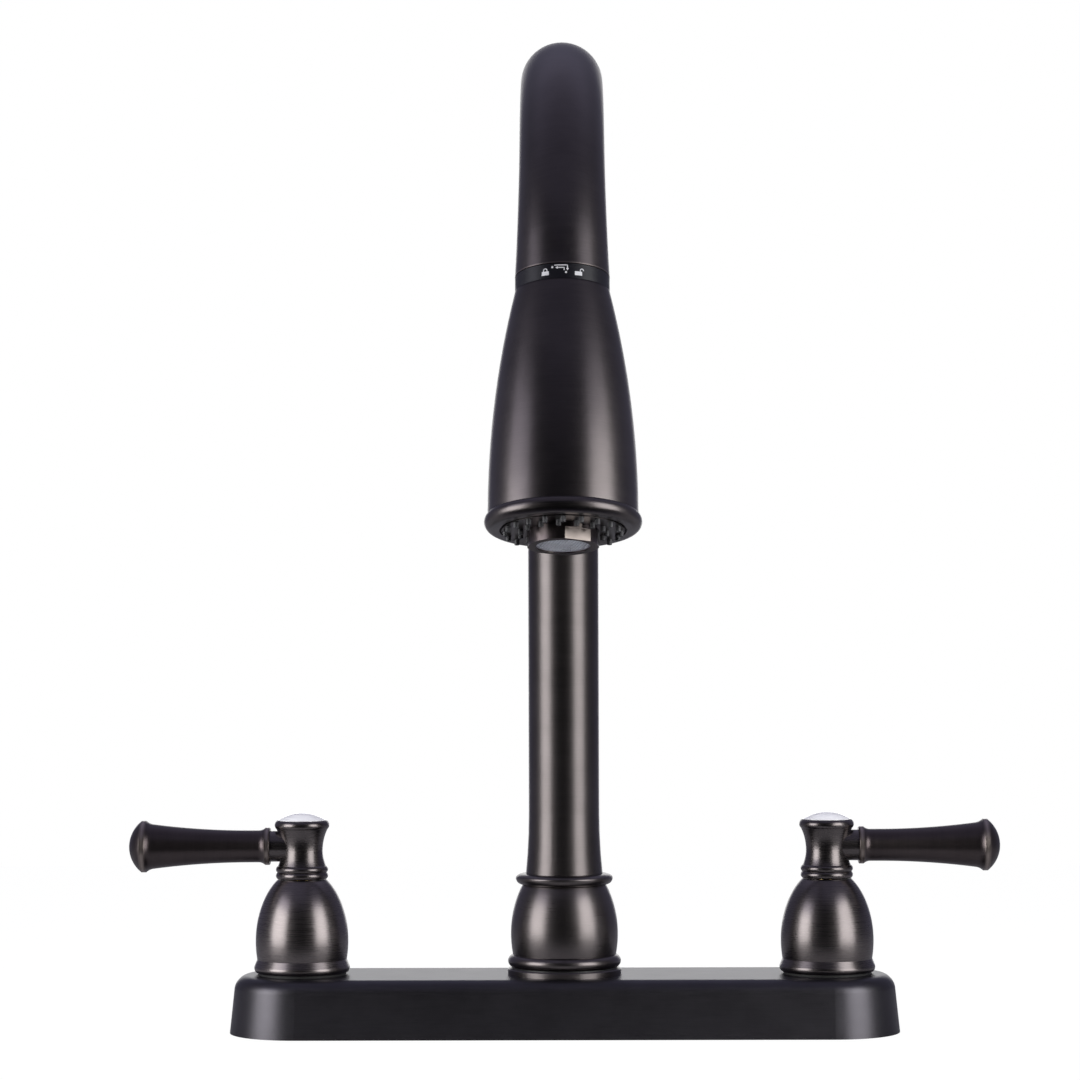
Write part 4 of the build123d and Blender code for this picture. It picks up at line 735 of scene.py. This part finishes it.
screen = new_piece("woven_screen", woven_screen(), steel_wire, "outlet")
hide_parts("aerator_screen")
new_piece("screen_rim", screen_rim(), pale_rim, "outlet", smooth=False)


# ================================================================ marks on the collar
collar_r = head_radius("lock_collar")
mark_middle = (spout_end + shell_start) / 2  # the collar shows between spout and shell
mark_rise = 0.05 * mm  # how far the paint stands out
mark_depth = 0.3  # how far it goes into the collar, in rises
mark_line = 0.30 * mm
mark_step = 0.5 * mm
paint = moulded("white_paint", (0.84, 0.84, 0.86), roughness=0.5, relief=0.004 * mm)

box_width, box_height = 2.5 * mm, 1.35 * mm  # of a padlock
box_base = -1.55 * mm
box_rows = 5
box_overlap = 1.02  # of a row's width and its pitch, so that no gap shows
shackle_r = 0.62 * mm
shackle_line = 0.26 * mm
shackle_leg = 0.35 * mm
shackle_shift = 1.2 * mm  # of an open padlock

barb_length, barb_width = 0.75 * mm, 0.5 * mm  # of an arrowhead
barb_rows = 5
barb_lead = 0.35 * mm  # how far it goes past the line's end
dot_r = 0.35 * mm
dot_rows = 4
row_overlap = 1.05  # in arrowheads and dots


def add_stroke(form, points, width):
    """Raised painted line on the collar, through points of (along the rim, up), in metres."""
    line = [Vector(point) for point in points]
    dense = []
    for start, end in zip(line, line[1:]):
        parts = max(int((end - start).length / mark_step), 1)
        dense += [start.lerp(end, i / parts) for i in range(parts)]
    dense.append(line[-1])
    corners = ((-1, -mark_depth), (1, -mark_depth), (1, 1), (-1, 1))
    rings = []
    for i, point in enumerate(dense):
        way = (dense[min(i + 1, len(dense) - 1)] - dense[max(i - 1, 0)]).normalized()
        side = Vector((-way.y, way.x)) * (width / 2)
        ring = []
        for offset, rise in corners:
            place = point + side * offset
            radius = collar_r + rise * mark_rise
            ring.append(head_point(mark_middle - place.y, radius, place.x / collar_r))
        rings.append(ring)
    add_loft(form, rings)


def arc_points(centre, radius, start, end, steps=8):
    """Points of an arc from one angle to another."""
    turns = [math.radians(start + (end - start) * i / steps) for i in range(steps + 1)]
    x, y = centre
    return [(x + radius * math.cos(turn), y + radius * math.sin(turn)) for turn in turns]


def padlock(form, middle, opened):
    """Padlock: a box with a shackle over it, which stands to one side when it is open."""
    row_height = box_height / box_rows
    for row in range(box_rows):
        level = box_base + box_height * (row + 0.5) / box_rows
        start, end = (middle - box_width / 2, level), (middle + box_width / 2, level)
        add_stroke(form, [start, end], row_height * box_overlap)
    shift = shackle_shift if opened else 0.0
    box_top = box_base + box_height
    arch = arc_points((middle + shift, box_top + shackle_leg), shackle_r, 180, 0)
    legs = [(middle + shift - shackle_r, box_top)] + arch
    if not opened:
        legs.append((middle + shackle_r, box_top))
    add_stroke(form, legs, shackle_line)


def arrow(form, points):
    """Line with an arrowhead at its last point."""
    add_stroke(form, points, mark_line)
    tip = Vector(points[-1])
    way = (tip - Vector(points[-2])).normalized()
    side = Vector((-way.y, way.x))
    width = barb_length / barb_rows * row_overlap
    for row in range(barb_rows):
        back = barb_length * (row + 0.5) / barb_rows
        reach = side * (barb_width * (row + 0.5) / barb_rows)
        middle = tip + way * (barb_lead - back)
        add_stroke(form, [middle - reach, middle + reach], width)


def dot(form, x, y):
    """Filled spot, as a stack of strokes."""
    width = 2 * dot_r / dot_rows * row_overlap
    for row in range(dot_rows):
        level = dot_r * (2 * (row + 0.5) / dot_rows - 1)
        reach = math.sqrt(dot_r**2 - level**2)
        add_stroke(form, [(x - reach, y + level), (x + reach, y + level)], width)


def collar_marks():
    """Closed padlock, the two ways of the turn, open padlock."""
    form = bmesh.new()
    padlock(form, -5.7 * mm, opened=False)
    padlock(form, 5.4 * mm, opened=True)
    dot(form, -3.3 * mm, 1.1 * mm)
    arrow(form, [(-2.6 * mm, 1.75 * mm), (1.7 * mm, 1.75 * mm), (1.7 * mm, 0.3 * mm)])
    arrow(form, [(0.6 * mm, 0.0), (0.6 * mm, 0.9 * mm), (-1.9 * mm, 0.9 * mm)])
    dot(form, 1.2 * mm, -0.7 * mm)
    return form


new_piece("collar_marks", collar_marks(), paint, "spray_head", smooth=False)


# ================================================================ studio
light_ring = 0.75  # how far the soft boxes' edges stand from the spout
left_side, right_side = (-78, -44), (34, 68)
cool = (0.96, 0.94, 1.10)


def area_light(name, width, height, radiance, colour=(1, 1, 1)):
    """Lamp that the camera doesn't see."""
    data = bpy.data.lights.new(name, "AREA")
    data.shape = "RECTANGLE"
    data.size = width
    data.size_y = height
    data.energy = radiance * data.size * data.size_y * math.pi
    data.color = colour
    lamp = bpy.data.objects.new(name, data)
    lamp.visible_camera = False
    bpy.context.scene.collection.objects.link(lamp)
    return lamp


def soft_box(name, azimuths, heights, radiance, colour=(1, 1, 1)):
    """Upright light that faces the part. Azimuth 0 is the camera's side, positive is right."""
    low, high = heights
    half_turn = math.radians(azimuths[1] - azimuths[0]) / 2
    turn = math.radians(azimuths[0] + azimuths[1]) / 2
    distance = light_ring * math.cos(half_turn)
    width = 2 * light_ring * math.sin(half_turn)
    lamp = area_light(name, width, high - low, radiance, colour)
    lamp.location = (distance * math.sin(turn), -distance * math.cos(turn), (low + high) / 2)
    aim = Vector((0, 0, lamp.location.z)) - lamp.location
    lamp.rotation_euler = aim.to_track_quat("-Z", "Y").to_euler()


def overhead_light():
    """Broad light over the part for what isn't metal. Metal doesn't mirror it."""
    lamp = area_light("overhead", width=1.2, height=0.9, radiance=1.25)
    lamp.location = (0, -0.1, 1.0)
    lamp.visible_glossy = False


soft_box("left_softbox", left_side, heights=(-0.03, 0.38), radiance=5.6)
soft_box("left_upper_softbox", left_side, heights=(0.38, 0.60), radiance=2.0, colour=cool)
soft_box("right_softbox", right_side, heights=(-0.03, 0.52), radiance=4.8)
soft_box("right_upper_softbox", right_side, heights=(0.52, 0.68), radiance=1.2, colour=cool)
overhead_light()

# What metal sees round the part: a light that grows between two places of a direction, from
# the front (-1) to the back (1) or from below (-1) to straight up (1).
room_colour = (0.94, 0.92, 1.30)
wall_light, wall_range = (0.006, 0.18), (-0.4, 0.6)
ceiling_light, ceiling_range = (0.0, 0.20), (0.48, 0.82)
backdrop_range = (0.90, 0.98)
backdrop_glare = 0.85  # of the backdrop, over plain white


def studio_world():
    """The camera sees plain white in every direction.

    Metal mirrors that white, with some glare on top, where the backdrop stands behind the part,
    and a dim, cool room to the sides and in front.
    """
    world = bpy.data.worlds.new("studio")
    tree = NodeTree(world)

    def grow(place, light, place_range):
        return tree.spread(place, *light, *place_range, "SMOOTHSTEP")

    def background(colour, strength):
        made = tree.node("ShaderNodeBackground")
        tree.link((*colour, 1), made.inputs["Color"])
        tree.link(strength, made.inputs["Strength"])
        return made.outputs[0]

    _, back, up = tree.split(tree.node("ShaderNodeTexCoord").outputs["Generated"])
    walls = grow(back, wall_light, wall_range)
    ceiling = grow(up, ceiling_light, ceiling_range)
    behind = grow(back, (0.0, 1.0), backdrop_range)
    room = background(room_colour, tree.math("ADD", walls, ceiling))

    rays = tree.node("ShaderNodeLightPath").outputs
    mirrored = tree.math("MULTIPLY", rays["Is Glossy Ray"], behind)
    shown = tree.math("MAXIMUM", mirrored, rays["Is Transmission Ray"])
    shown = tree.math("MAXIMUM", shown, rays["Is Camera Ray"])
    plain = tree.mix_shaders(shown, room, background((1, 1, 1), 1.0))

    unseen = grow(rays["Is Camera Ray"], (backdrop_glare, 0.0), (0.0, 1.0))
    glare = background((1, 1, 1), tree.math("MULTIPLY", unseen, behind))
    output = tree.node("ShaderNodeOutputWorld")
    tree.link(tree.add_shaders(plain, glare), output.inputs["Surface"])
    bpy.context.scene.world = world


studio_world()

counter_front = -0.148  # just outside the picture
counter_half_width = 0.9
counter_back = 0.9
counter_thickness = 0.03
counter_edge_r = 3 * mm
counter_gap = 0.02 * mm  # to the gasket
counter_colours = ((0.42, 0.42, 0.42), (0.46, 0.46, 0.46))
counter_cloud = 40 * mm

# The camera sees the glow in this share and the counter's own colour, with the part's shadow,
# in the rest. The glow is over 1 because that colour is darker: together they are white.
glow_share = 0.93
counter_glow = 1.055


def counter():
    """Plain counter under the plate, with rounded edges, which the camera sees as white."""
    mesh = bpy.data.meshes.new("counter")
    form = bmesh.new()
    bmesh.ops.create_cube(form, size=1.0)
    depth = counter_back - counter_front
    bmesh.ops.scale(form, verts=form.verts, vec=(2 * counter_half_width, depth, counter_thickness))
    middle_y = (counter_back + counter_front) / 2
    top_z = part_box("deck_gasket")[0].z - counter_gap
    bmesh.ops.translate(form, verts=form.verts, vec=(0, middle_y, top_z - counter_thickness / 2))
    bmesh.ops.bevel(
        form, geom=form.edges, offset=counter_edge_r, segments=4, profile=0.5, affect="EDGES"
    )
    form.to_mesh(mesh)
    form.free()

    shader = Shader("pale_counter")
    cloud = shader.noise(shader.place(), counter_cloud, detail=2.0)
    shader.set(base_color=shader.colours(cloud, *counter_colours), roughness=0.6)
    glow = shader.node("ShaderNodeEmission")
    glow.inputs["Strength"].default_value = counter_glow
    rays = shader.node("ShaderNodeLightPath").outputs
    share = shader.math("MULTIPLY", rays["Is Camera Ray"], glow_share)
    seen = shader.mix_shaders(share, shader.surface.outputs[0], glow.outputs[0])
    shader.link(seen, shader.output.inputs["Surface"])
    mesh.materials.append(shader.material)

    floor = bpy.data.objects.new("counter", mesh)
    bpy.context.scene.collection.objects.link(floor)


counter()


# ================================================================ camera
camera_distance = 1.22
camera_height = 0.1512
camera_lens = 104.7
camera_pitch = 1.815
camera_yaw = 0.423
camera_roll = -0.17

camera_data = bpy.data.cameras.new("camera")
camera_data.sensor_width = 36
camera_data.lens = camera_lens
camera = bpy.data.objects.new("camera", camera_data)
bpy.context.scene.collection.objects.link(camera)
aim = Euler((math.radians(90 + camera_pitch), 0, math.radians(camera_yaw))).to_matrix().to_4x4()
roll = Matrix.Rotation(math.radians(camera_roll), 4, "Z")
camera.matrix_world = Matrix.Translation((0, -camera_distance, camera_height)) @ aim @ roll
bpy.context.scene.camera = camera
bpy.context.scene.view_settings.view_transform = "Standard"
